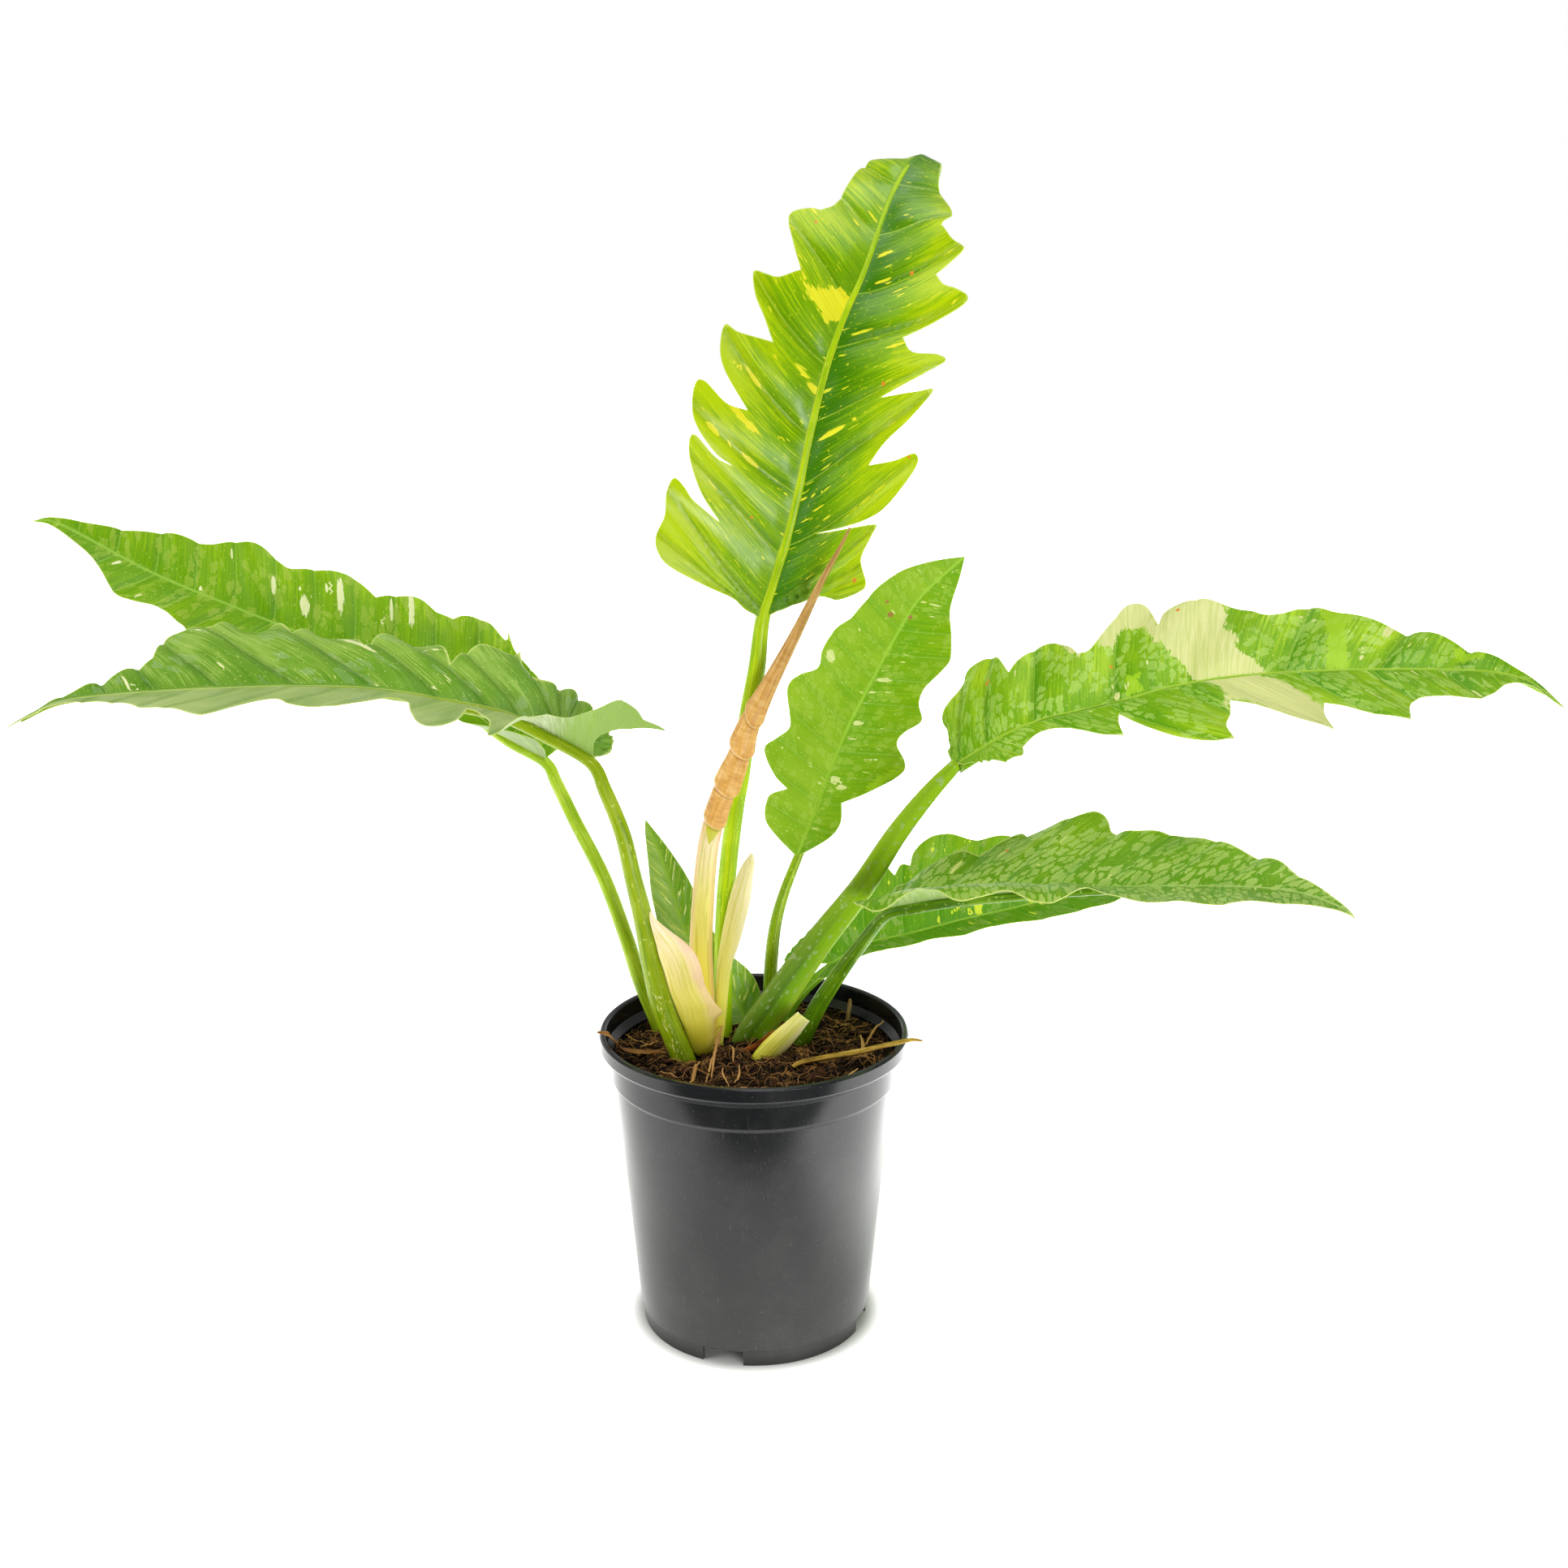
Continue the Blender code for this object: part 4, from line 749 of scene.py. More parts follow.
centreLeaf = dict(
    stalk=[(7, 27, 131, 3.8), (7.6, 33, 151, 3.9), (8.8, 36, 188, 3.7), (11.3, 38, 211, 3.3),
           (16.2, 41, 229, 2.9), (22.5, 45, 248, 2.6)],
    midrib=[(23, 45, 248), (31, 48, 268), (48, 60, 310), (61, 68, 335), (81, 80, 370), (93, 88, 386),
            (116, 98, 405)],
    face=(-0.25, -0.85, 0.5),
    leftFolds=[(0, 6), (190, 6)],
    rightFolds=[(0, 6), (190, 6)],
    left=[(5, 13), (12, 24), (25, 27), (33, 19, "cut"), (38, 29), (49, 39), (56, 36), (64, 30), (72, 34),
          (82, 40), (90, 38), (98, 31), (108, 33), (120, 32), (132, 27), (148, 24), (166, 17), (182, 8)],
    right=[(8, 7), (17, 14), (26, 17), (36, 13, "cut"), (46, 25), (62, 39), (70, 39), (78, 31), (86, 31),
           (96, 37), (104, 31), (114, 30), (124, 34), (134, 35), (148, 27), (164, 18), (180, 9)],
    veinGap=15.0,
    veinLean=18.0,
    quilt=(1.4, 1.4),
    marks=[(107, -27, 6.0, 6.0), (108, 6, 8.7, 2.7), (99, 3, 5.0, 1.4), (80, 3, 8.2, 2.9),
           (47, 4, 6.1, 3.1), (44, 10, 6.7, 3.1), (159, 10, 6.8, 1.4), (181, 2, 1.7, 1.4),
           (144, -8, 3.3, 1.0), (65, 23, 2.5, 1.0), (63, 18, 2.8, 0.7), (53, -30, 1.2, 1.2),
           (71, 5, 4.8, 1.0), (92, 3, 2.7, 0.7), (42, -3, 1.9, 1.2), (127, -20, 1.8, 1.4),
           (151, 13, 2.9, 1.0), (49, -11, 2.0, 0.6), (61, -23, 1.5, 0.7)],
    limePatches=[[(48, 23), (56, 27), (62, 33), (70, 42), (64, 42), (56, 34), (46, 26)]],
    scars=[((146, 1), 1.5), ((141, -9), 1.7), ((147, -14), 1.1)],
    look=dict(scar="#A27C40", ribTone=0.6, streakTone=0.15, pleatShading=0.03, deepSide=-1, paintedSheen="#ACCA47",
              sheenMix=0.35, deep="#68A200", mid="#99BF0B", light="#AFCE1F", pale="#A7C847",
              paleRim="#B6CF56", paleShare=0.45, paleMix=0.4, paleLong=0.8, paleScale=0.26, sideShade=-0.05,
              mark="#DCE59C", markShade="#CBDB80", fleck="#D2DE7A", fleckFrom=0.72, rib="#9CCB3C",
              vein="#93C24A", edge="#A9D04A", roughness=0.4, stalkDeep="#749902", stalk="#89AA02",
              stalkLight="#9DBA15", stalkSpeck="#C2D850", stalkLines=[(1.0, 0.2)]),
)
makeLeaf("centre_right_leaf", centreLeaf, "leaf_centre_right", "leaf")

creamLeaf = dict(
    flatStalk=[(-3, 11, 131, 12, 6), (-4, 9, 152, 18, 7.5), (13, 10, 179, 18, 7.5),
               (35, 12, 211, 15.5, 7.5), (57, 11, 241, 13.5, 7), (75, 9, 271, 11.5, 6.6),
               (91.5, 7, 294, 9.5, 6.2), (106, 5, 311, 7, 5.6)],
    midrib=[(106, 5, 311), (139, 0, 332), (183, -5, 345), (223, -10, 357), (267, -15, 363),
            (331, -24, 366.5), (378, -29, 364), (404, -31, 348)],
    face=(0, 0, 1),
    leftFolds=[(0, 34), (60, 34), (200, 30)],
    rightFolds=[(0, -16), (70, -20), (300, -20)],
    left=[(-3, 6), (1, 21), (1, 35), (16, 53), (22, 61), (31, 60), (37, 51), (40, 37, "cut"), (45, 44),
          (53, 51), (63, 54), (70, 47), (74, 37, "cut"), (80, 38), (89, 48), (100, 60), (108, 66), (115, 65),
          (118, 46, "cut"), (122, 56), (131, 58), (145, 56), (160, 50), (167, 42), (175, 42), (186, 48),
          (197, 50), (212, 38), (229, 32), (244, 26), (259, 19), (273, 12), (286, 6), (304, 2.6),
          (311, 1.4)],
    right=[(4, 6), (16, 16), (28, 28), (36, 26), (37, 20, "cut"), (48, 12), (62, 13), (78, 26),
           (88, 32, "cut"), (87, 20), (88, 11, "cut"), (98, 26), (112, 42), (129, 56), (140, 62, "cut"),
           (138, 46), (142, 30), (143, 22, "cut"), (157, 30), (178, 49), (191, 55, "cut"), (188, 40),
           (189, 29, "cut"), (199, 32), (213, 42), (227, 51, "cut"), (229, 34), (234, 26), (247, 26),
           (259, 27), (270, 21), (279, 10), (290, 4), (304, 2.6), (311, 1.4)],
    veinGap=38.0,
    veinLean=9.0,
    leftVeins=[(0, 16), (17, 33), (45, 53), (86, 97), (128, 136), (173, 190), (220, 250), (258, 284)],
    rightVeins=[(20, 52), (52, 106), (84, 124), (120, 158), (143, 186), (180, 220), (215, 250), (250, 280)],
    quilt=(5.0, 1.8),
    marks=[(17, -45, 4.2, 2.4), (34, -44, 2.8, 0.9), (96, -8, 3.3, 0.9), (89, -4, 6.0, 3.1),
           (108, -18, 3.4, 1.1), (88, -15, 4.7, 0.7), (43, -38, 10.6, 0.9), (226, -29, 7.9, 3.4),
           (191, -40, 1.6, 1.9), (185, -43, 1.2, 1.3), (211, -8, 3.2, 1.6), (212, -14, 1.7, 1.0),
           (235, -16, 3.1, 1.3), (235, 4, 7.5, 1.2), (262, 21, 6.8, 1.6), (214, 28, 12.9, 1.0),
           (249, 3, 5.0, 0.8), (226, 4, 4.6, 0.8)],
    patches=[[(84, -42), (88, -50), (98, -62), (110, -70), (117, -70), (117, -46), (121, -70), (150, -66),
              (150, -43), (148, -35), (150, -32), (153, -27), (151, -17), (155, -13), (158, -10), (163, -3),
              (166, 0), (129, 0), (127, -5), (124, -16), (121, -19), (117, -31), (114, -31), (111, -50),
              (106, -49), (102, -51), (98, -49), (93, -40), (88, -41)], [(132, 0), (140, 9), (142, 17),
                                                                         (139, 23), (142, 28), (143, 22),
                                                                         (149, 23), (157, 29), (173, 45),
                                                                         (183, 60), (194, 64), (190, 42),
                                                                         (188, 33), (184, 27), (178, 18),
                                                                         (167, 6), (159, 0)],
             [(69, -55), (72, -45), (76, -36), (74, -33), (70, -40), (66, -52)]],
    limePatches=[[(195, -60), (205, -60), (210, -38), (204, -22), (205, 0), (193, 0), (196, -23)],
                 [(96, -14), (103, -12), (102, -2), (94, -2)], [(256, -16), (272, -14), (270, -8),
                                                                (257, -8)]],
    scars=[((30, -40), 1.6), ((128, -52), 1.2), ((90, -28), 1.0)],
    look=dict(deep="#418B00", mid="#86B704", light="#B0D523", pale="#BADD6A", paleRim="#CDE387",
              paleShare=0.6, paleMix=0.42, paleScale=0.22, pleatShading=0.22, veinValleyShade=0.6, mark="#E1E49D",
              markShade="#CBD57D", fleck="#D6E07A", rib="#A9CE3A", vein="#A6CC4A", edge="#CFE27A",
              roughness=0.36, stalkDeep="#56800A", stalk="#709C10", stalkLight="#8AB41E",
              stalkSpeck="#A9BE84", speckFrom=0.63, speckScale=0.5, stalkSpread=0.2,
              stalkTop=(70, 150, "#9CC414"), stalkBandsAndLitSide=[(0.0, "#8FA84E"), (0.1, "#6F8E2A"),
                                                         (0.3, "#577F10"), (0.47, "#3F6C04"),
                                                         (0.53, "#6FA80C"), (0.75, "#8CC010"),
                                                         (1.0, "#B0D03A")]),
)
makeLeaf("cream_marked_leaf", creamLeaf, "leaf_right_variegated", "cream_marked_leaf")

rightFrontLeaf = dict(
    stalk=[(22, 17, 131, 4.6), (25, 12, 151, 5.0), (33, 7, 173, 4.8), (44, 2, 194, 4.2), (56, -2, 213, 3.6),
           (69, -5, 234, 3.2)],
    midrib=[(69, -5, 234), (97, -20, 245), (151, -49, 259.5), (206, -80, 271.5), (249, -109, 279),
            (271, -127, 276.5), (277, -132, 272.5)],
    face=(0, 0, 1),
    leftFolds=[(0, 22), (250, 22)],
    rightFolds=[(-20, 60, -2.8), (30, 60, -2.8), (70, 54, -2.5), (105, 38, -1.7), (135, 16, -0.6), (165, 2),
                (250, 0)],
    left=[(-4, 10), (2, 20), (14, 30), (32, 38), (44, 36, "cut"), (54, 48), (62, 55), (66, 52, "cut"),
          (76, 58), (91, 58), (102, 62), (108, 60), (112, 52), (116, 48, "cut"), (128, 43), (140, 45),
          (150, 43), (168, 36), (180, 31), (192, 25), (205, 20), (217, 12), (235, 5)],
    right=[(-4, 8), (-8, 17), (-3, 25), (12, 30), (32, 29), (44, 28), (54, 32), (70, 34), (84, 30),
           (100, 36), (116, 35), (122, 20, "cut"), (140, 27), (162, 36), (182, 33), (206, 28), (220, 21),
           (232, 11), (243, 4)],
    veinGap=30.0,
    veinLean=26.0,
    quilt=(2.4, 1.0),
    ruffles=[(1, 70, 16, 53, 39, 12)],
    marks=[(58, -36, 8.9, 1.7), (90, -41, 6.5, 1.0), (82, -20, 1.5, 1.8), (34, -26, 10.5, 2.6),
           (123, -10, 3.4, 0.9), (113, -29, 4.3, 0.7), (160, -10, 3.2, 0.7), (114, -12, 3.3, 0.7),
           (201, 3, 5.8, 1.0)],
    scars=[((60, -38), 1.2)],
    look=dict(deep="#468C00", mid="#6D9E07", light="#94BC23", pale="#B5D06C", paleRim="#CDDE89",
              paleShare=0.8, paleMix=0.55, paleScale=0.21, edgeWidth=1.0, mark="#DDE58A",
              markShade="#C6D86A", fleck="#D6E07A", rib="#A9C86A", vein="#9CC060", edge="#E0EA8A",
              under="#B4CC86", underDeep="#9CBA66", roughness=0.38, specular=0.25, stalkDeep="#406901",
              stalk="#537B02", stalkLight="#729914", stalkSpeck="#A6C46A"),
)
makeLeaf("right_front_leaf", rightFrontLeaf, "leaf_right_front", "leaf")

rightBackLeaf = dict(
    stalk=[(15, 33, 131, 3.3), (16, 44, 151, 3.4), (26, 47, 168, 3.2), (42, 50, 184, 2.9)],
    midrib=[(42, 50, 184), (63, 58, 193), (87, 66, 196), (118, 76, 201), (150, 86, 205), (186, 96, 211),
            (221, 106, 215)],
    face=(0, -0.3, 1),
    leftFolds=[(0, 20), (190, 20)],
    rightFolds=[(0, 14), (190, 14)],
    left=[(-12, 8), (-21, 15), (-7, 22), (18, 30), (34, 39), (52, 48), (57, 42, "cut"), (64, 49),
          (68, 45, "cut"), (74, 54), (84, 58), (100, 56), (116, 53), (134, 45), (154, 34), (174, 18)],
    right=[(-10, 5), (-10, 10), (4, 11), (14, 10), (36, 15), (55, 14), (74, 20), (92, 17), (106, 20),
           (120, 24), (147, 24), (164, 25), (180, 13)],
    veinGap=22.0,
    veinLean=22.0,
    quilt=(1.8, 0.6),
    marks=[(95, -8, 16.8, 5.4), (126, -4, 8.8, 4.1), (69, -4, 5.5, 1.7), (82, -8, 3.7, 1.3),
           (78, -6, 2.2, 1.2), (26, -22, 3.2, 3.2), (5, -26, 2.4, 1.9), (-4, -23, 1.8, 1.2),
           (83, -49, 2.9, 1.7), (107, -53, 2.3, 1.2), (84, 8, 4.0, 1.5), (120, 13, 5.8, 1.7),
           (51, -37, 2.4, 1.5), (87, -3, 8.1, 1.0)],
    look=dict(deep="#458A00", mid="#649B00", light="#80AB09", pale="#93B056", paleRim="#AABF6E",
              paleShare=0.35, paleMix=0.45, mark="#DEE63A", markShade="#CBDB20", fleck="#D6E04A",
              fleckFrom=0.72, rib="#9CC43A", vein="#8FBC3A", edge="#C9DE6A", roughness=0.38,
              stalkDeep="#5F9410", stalk="#76A914", stalkLight="#93C034", stalkSpeck="#A6C46A",
              stalkLines=[(0.6, 0.2)], streakTone=0.3),
)
makeLeaf("right_back_leaf", rightBackLeaf, "leaf_right_back", "leaf")

smallLeaf = dict(
    stalk=[(-4, 22, 131, 2.4), (-1, 22, 148, 3.4), (-1, 24.5, 155, 3.6), (-5, 27, 160, 2.4)],
    midrib=[(-5, 27, 160), (-13, 32, 174), (-27, 37, 190), (-39, 43, 207), (-44, 47, 222), (-51.5, 53, 244),
            (-60.5, 60, 265)],
    face=(0.1, -1, 0.3),
    leftFolds=[(0, 8), (130, 8)],
    rightFolds=[(0, 8), (130, 8)],
    left=[(2, 9), (20, 12), (50, 13), (80, 12), (100, 8), (118, 3)],
    right=[(-6, 9), (10, 14), (20, 15), (34, 13), (60, 13), (84, 11), (104, 6), (118, 2)],
    veinGap=12.0,
    veinLean=120.0,
    quilt=(0.6, 0.6),
    marks=[(100, 2, 2.5, 2.0), (94, 5, 4, 1.6), (90, 3, 3, 1.0), (78, -4, 3, 1.6), (84, 7, 4, 1.4),
           (80, 3, 2, 1.2), (66, 9, 3, 2.0), (70, 4, 2.4, 1.2), (60, -8, 3, 1.6), (56, 6, 2.6, 2.0),
           (60, 3, 2.4, 1.0), (72, -3, 2, 1.2), (50, -5, 2.4, 1.6), (88, -3, 2.4, 1.2), (46, 8, 2.6, 1.6),
           (40, 4, 2, 1.2)],
    look=dict(deep="#4F8A10", mid="#84AE2E", light="#A4C44C", deepSide=-1, paintedSheen="#B4CC74", sheenMix=0.6,
              pale="#8FB470", paleRim="#A6C68C", paleShare=0.3, paleMix=0.4, mark="#E3E9A6",
              markShade="#D0DC84", fleck="#CAD86A", fleckFrom=0.62, rib="#8FBC3A", vein="#7DAE30",
              edge="#A6C85A", under="#8FAE7A", underDeep="#6F9460", roughness=0.42, stalkDeep="#6E9A0C",
              stalk="#8DB216", stalkLight="#A9C63A", stalkSpeck="#B9CF6A", streakTone=0.3),
)
makeLeaf("small_young_leaf", smallLeaf, "leaf_small_young", "small_leaf")


newLeaf = dict(
    sections=[(-24, 9, 131, 8.6, 8.6), (-25, 8, 154, 10.4, 9.6), (-27.5, 2, 197, 12, 11),
              (-27.5, -1, 221, 12, 11.4), (-24, -4, 264, 11, 11), (-18.5, -6, 288, 11, 11),
              (-11, -8, 308, 12.2, 12), (-7, -8.5, 318, 11.3, 11.3), (-2, -9, 334, 10.3, 10.3),
              (8.5, -11, 356, 8.2, 8.2), (21.5, -14, 382, 5.8, 5.8), (35, -20, 411, 3.4, 3.4),
              (42, -25, 425, 2.2, 2.2), (48, -31, 438, 1.2, 1.2)],
    # where a wrap of the roll ends: height along it, slope across it, and how far its lip stands out
    wraps=[(153, 2.4, 1.3), (172, 2.4, 1.6), (194.5, 3.0, 1.8), (214, 5.0, 1.2)],
)


def wrapEdges(turn, reach):
    # how far each point stands above the end of each wrap
    return [reach - at - slope * np.cos(turn + 2.1) for at, slope, _ in newLeaf["wraps"]]


def rolledRing(turn, width, thickness, reach):
    # wraps that end one above the other, each a little wider at its end, and a lap down one side
    swell = np.zeros_like(turn + reach)
    for above, (_, _, lip) in zip(wrapEdges(turn, reach), newLeaf["wraps"]):
        swell = swell + lip * np.sqrt(np.clip(above / 2.6, 0, 1)) * np.exp(-np.maximum(above, 0) / 11)
        swell = swell - 0.3 * np.exp(-((above + 1.2) / 1.4) ** 2)
    lap = ((turn + 0.012 * reach + 0.6) / (2 * np.pi)) % 1.0
    swell = swell + 0.35 * (lap - 0.5) * np.clip(width / 8, 0, 1)
    return (width / 2 + swell) * np.cos(turn), (thickness / 2 + swell) * np.sin(turn)


# New leaf still rolled: thin tender skin over fine ribs, bronze where light has coloured it, yellow below.
def rolledLeafMaterial():
    material, add = newMaterial("rolled_new_leaf_skin", 0.4, specular=0.35)
    strand, wraps = (add("Attribute", out="Vector", attribute_name=key)
                     for key in ("strandPlace", "wrapPlace"))
    across, _, along = add("SeparateXYZ", (strand,), out=None)
    nearEnd, aboveLowest, _ = add("SeparateXYZ", (wraps,), out=None)
    tilted, long = (add("VectorMath", (strand, shrink), operation="MULTIPLY")
                    for shrink in ((0.25, 0.25, 1.0), (1, 1, 0.05)))
    cross = add("TexNoise", {"Vector": tilted, "Scale": 0.55, "Detail": 3.0})
    broad = add("TexNoise", {"Vector": strand, "Scale": 0.16, "Detail": 3.0})
    fibre = add("TexNoise", {"Vector": long, "Scale": 0.8, "Detail": 3.0})
    # above the lowest wrap: bronze with cream ribs across
    mixed = add("Math", (cross, 0.4), operation="MULTIPLY")
    for field, weight in ((broad, 0.25), (fibre, 0.35)):
        mixed = add("Math", (field, weight, mixed), operation="MULTIPLY_ADD")
    bronze = add("ValToRGB", (mixed,), stops=[(0.34, "#BE8A40"), (0.45, "#D8A050"), (0.54, "#E4B25E"),
                                              (0.66, "#F0CC8C")])
    tip = add("MapRange", (along, 200.0, 290.0, 0.0, 0.85))
    aged = add("ValToRGB", (fibre,), stops=[(0.4, "#96703A"), (0.55, "#B08A48"), (0.68, "#CCA668")])
    bronze = add("Mix", {0: tip, 6: bronze, 7: aged}, out=2, data_type="RGBA")
    # below it: yellow, redder at the sides, yellow-green in front
    height = add("MapRange", (along, 0.0, 155.0))
    yellow = add("ValToRGB", (height,), stops=[(0.15, "#F6DE50"), (0.4, "#F2E050"), (0.7, "#F2E676"),
                                               (0.92, "#F8E6B4"), (0.99, "#F2C68E")])
    side = add("Math", (across,), operation="ABSOLUTE")
    edge = add("MapRange", (side, 2.8, 5.6, 0.0, 0.75))
    lines = add("ValToRGB", (fibre,), stops=[(0.4, 0.5), (0.5, 0.0)])
    upper = add("MapRange", (aboveLowest, -0.4, 0.4))
    # the last turn leaves a pointed gap in front, where a greener layer shows
    point = add("MapRange", (aboveLowest, -10.0, 0.0, 0.0, 4.4))
    bare = add("Math", (point, side), operation="SUBTRACT")
    bare = add("MapRange", (bare, 0.0, 0.4, 0.0, 0.85))
    lower = add("Math", (1.0, upper), operation="SUBTRACT")
    bare = add("Math", (bare, lower), operation="MULTIPLY")
    layers = [(edge, "#E4AE74"), (lines, "#C3BC38"), (upper, bronze), (bare, "#C4C80C")]
    # a cream line on each wrap's end, a brown one where it shades the next
    for middle, half, tint, most in ((0.4, 0.4, "#F4DFA6", 0.45), (-0.8, 0.7, "#94602C", 0.35)):
        line = add("Math", (nearEnd, middle, half), operation="COMPARE")
        layers.append((add("Math", (line, most), operation="MULTIPLY"), tint))
    return finishMaterial(material, yellow, layers, cross, 0.35, 0.0005)


points, faces, strand = sweep(newLeaf["sections"], 56, 0.7, ring=rolledRing)
above = np.stack(wrapEdges(np.arctan2(strand[:, 1], strand[:, 0]), strand[:, 2]), -1)
nearest = above[np.arange(len(above)), np.abs(above).argmin(1)]
makePiece("rolled_new_leaf", points, faces, [rolledLeafMaterial()], "new_leaf", ["new_leaf_roll"],
          dict(strandPlace=strand, wrapPlace=np.stack([nearest, above[:, 0], 0 * nearest], -1)))
print("rolled leaf made")


def crescentRing(turn, width, thickness, reach):
    # a curved sheet with fine edges: the outside bulges towards the face, the inside follows it
    bulge = np.minimum(0.30 * width, 4.8)
    skin = 0.55 + 0.10 * thickness
    outer = bulge * np.clip(np.sin(turn), 0, 1)
    inner = (bulge - skin * 2) * np.clip(-np.sin(turn), 0, 1)
    return width / 2 * np.cos(turn), np.where(np.sin(turn) >= 0, outer, inner) - bulge * 0.55


def tornRing(turn, width, thickness, reach):
    # the right edge juts out where the leaf stalk tore free, most at 45 mm along
    across, deep = crescentRing(turn, width, thickness, reach)
    jut = 5.2 * np.exp(-((reach - 45.0) / np.where(reach > 45.0, 5.0, 2.6)) ** 2)
    return across + jut * np.clip(np.cos(turn), 0, 1) ** 5, deep


sheaths = dict(
    large_sheath=dict(
        node="sheath_large", ring=tornRing, face=(0.42, -0.91, 0), level=True,
        sections=[(-25.5, 0, 134, 9, 2.6), (-24.7, -3, 149, 10, 2.6), (-26.2, -5.2, 154.7, 12, 2.6),
                  (-27.2, -8, 162, 14.4, 2.5), (-28.2, -11, 171, 17, 2.4), (-28.9, -12.4, 176, 18.9, 2.4),
                  (-29.4, -13.4, 179.6, 20.2, 2.4), (-30, -14.7, 184.1, 21.6, 2.3),
                  (-31.9, -15.9, 189.4, 20.8, 2.3), (-33.6, -17, 194.3, 20.2, 2.2),
                  (-34.9, -18.6, 200.7, 20.4, 2.1), (-36.5, -20.1, 208.1, 20.4, 2),
                  (-38.8, -21.2, 214.7, 19.4, 1.7), (-42.2, -22.1, 221.3, 15.2, 1.6),
                  (-46.6, -23.1, 227.7, 9.6, 1.4), (-50.7, -24.1, 234.4, 4.2, 1.2),
                  (-52.3, -25, 239.7, 1.4, 1)],
        look=dict(base="#DED438", middle="#FFF07C", top="#FFEBC8", blush="#FFC9BC", vein="#DAD23A")),
    tall_sheath=dict(
        node="sheath_tall",
        sections=[(-17, 5, 134, 4, 2.4), (-19, 6, 152, 4.2, 2.6), (-18, 7, 170, 6, 2.8),
                  (-17.1, 8, 187, 7.2, 2.8), (-15.7, 8, 199.4, 8, 2.8), (-12.8, 8, 211.8, 10, 2.6),
                  (-10, 7.5, 224.1, 11, 2.6), (-7.2, 7, 236.4, 11.1, 2.4), (-4.6, 7, 248.1, 8.6, 2.2),
                  (-1.8, 7, 257, 5.2, 1.8), (-1, 7, 261, 1.6, 1.0)],
        look=dict(base="#F2EC50", middle="#F6EE80", top="#FCF0C0", blush="#FAE8C8", vein="#DCDC58")),
    short_sheath=dict(
        node="sheath_short",
        sections=[(0, -2, 136, 8, 2.4), (3, -8, 148, 11, 2.6), (8, -9, 155, 12.4, 2.8),
                  (14, -10, 162, 12.2, 2.8), (20, -11, 169, 10.6, 2.6), (25, -11.5, 175, 8.8, 2.4),
                  (26.5, -11.6, 176.8, 8.2, 2.2)],
        look=dict(base="#E6E43C", middle="#ECE45A", top="#F4EE9C", blush="#F8F4DC", vein="#C2C838")),
)


# Leaf sheath, cream and waxy: parallel veins close together, with a blush where its edge took the light.
def sheathMaterial(name, look, length):
    material, add = newMaterial(name, 0.38, specular=0.4)
    strand = add("Attribute", out="Vector", attribute_name="strandPlace")
    across, _, along = add("SeparateXYZ", (strand,), out=None)
    long = add("VectorMath", (strand, (1, 0.4, 0.03)), operation="MULTIPLY")
    fine = add("TexNoise", {"Vector": long, "Scale": 1.1, "Detail": 3.0, "Roughness": 0.65})
    broad = add("TexNoise", {"Vector": strand, "Scale": 0.12, "Detail": 2.0})
    height = add("MapRange", (along, 0.0, length))
    colour = add("ValToRGB", (height,), stops=[(0.3, look["base"]), (0.55, look["middle"]),
                                               (0.95, look["top"])])
    lines = add("ValToRGB", (fine,), stops=[(0.42, 0.6), (0.52, 0.0)])
    right = add("MapRange", (across, -1.0, 9.0))
    pink = add("Math", (right, broad), operation="MULTIPLY")
    pink = add("ValToRGB", (pink,), stops=[(0.1, 0.0), (0.42, 0.9)])
    pink = add("Math", (pink, height), operation="MULTIPLY")
    return finishMaterial(material, colour, [(lines, look["vein"]), (pink, look["blush"])], fine, 0.5, 0.0006)


for name, sheath in sheaths.items():
    points, faces, strand = sweep(sheath["sections"], 48, 1.5, ring=sheath.get("ring", crescentRing),
                                  face=sheath.get("face", (0, -1, 0)), level=sheath.get("level", False))
    material = sheathMaterial(name + "_skin", sheath["look"], float(strand[:, 2].max()))
    makePiece(name, points, faces, [material], "sheath", [sheath["node"]], dict(strandPlace=strand))
print("sheaths made")


def crumpledRing(turn, width, thickness, reach):
    # a dry strip that has shrunk into folds along its length
    fold = 0.22 * np.sin(5 * turn + 0.09 * reach) + 0.12 * np.sin(9 * turn - 0.13 * reach)
    grow = 1 + fold * np.clip(thickness, 0, 1.5) / 1.5
    return width / 2 * np.cos(turn) * (1 + 0.06 * np.sin(0.8 * reach)), thickness / 2 * np.sin(turn) * grow


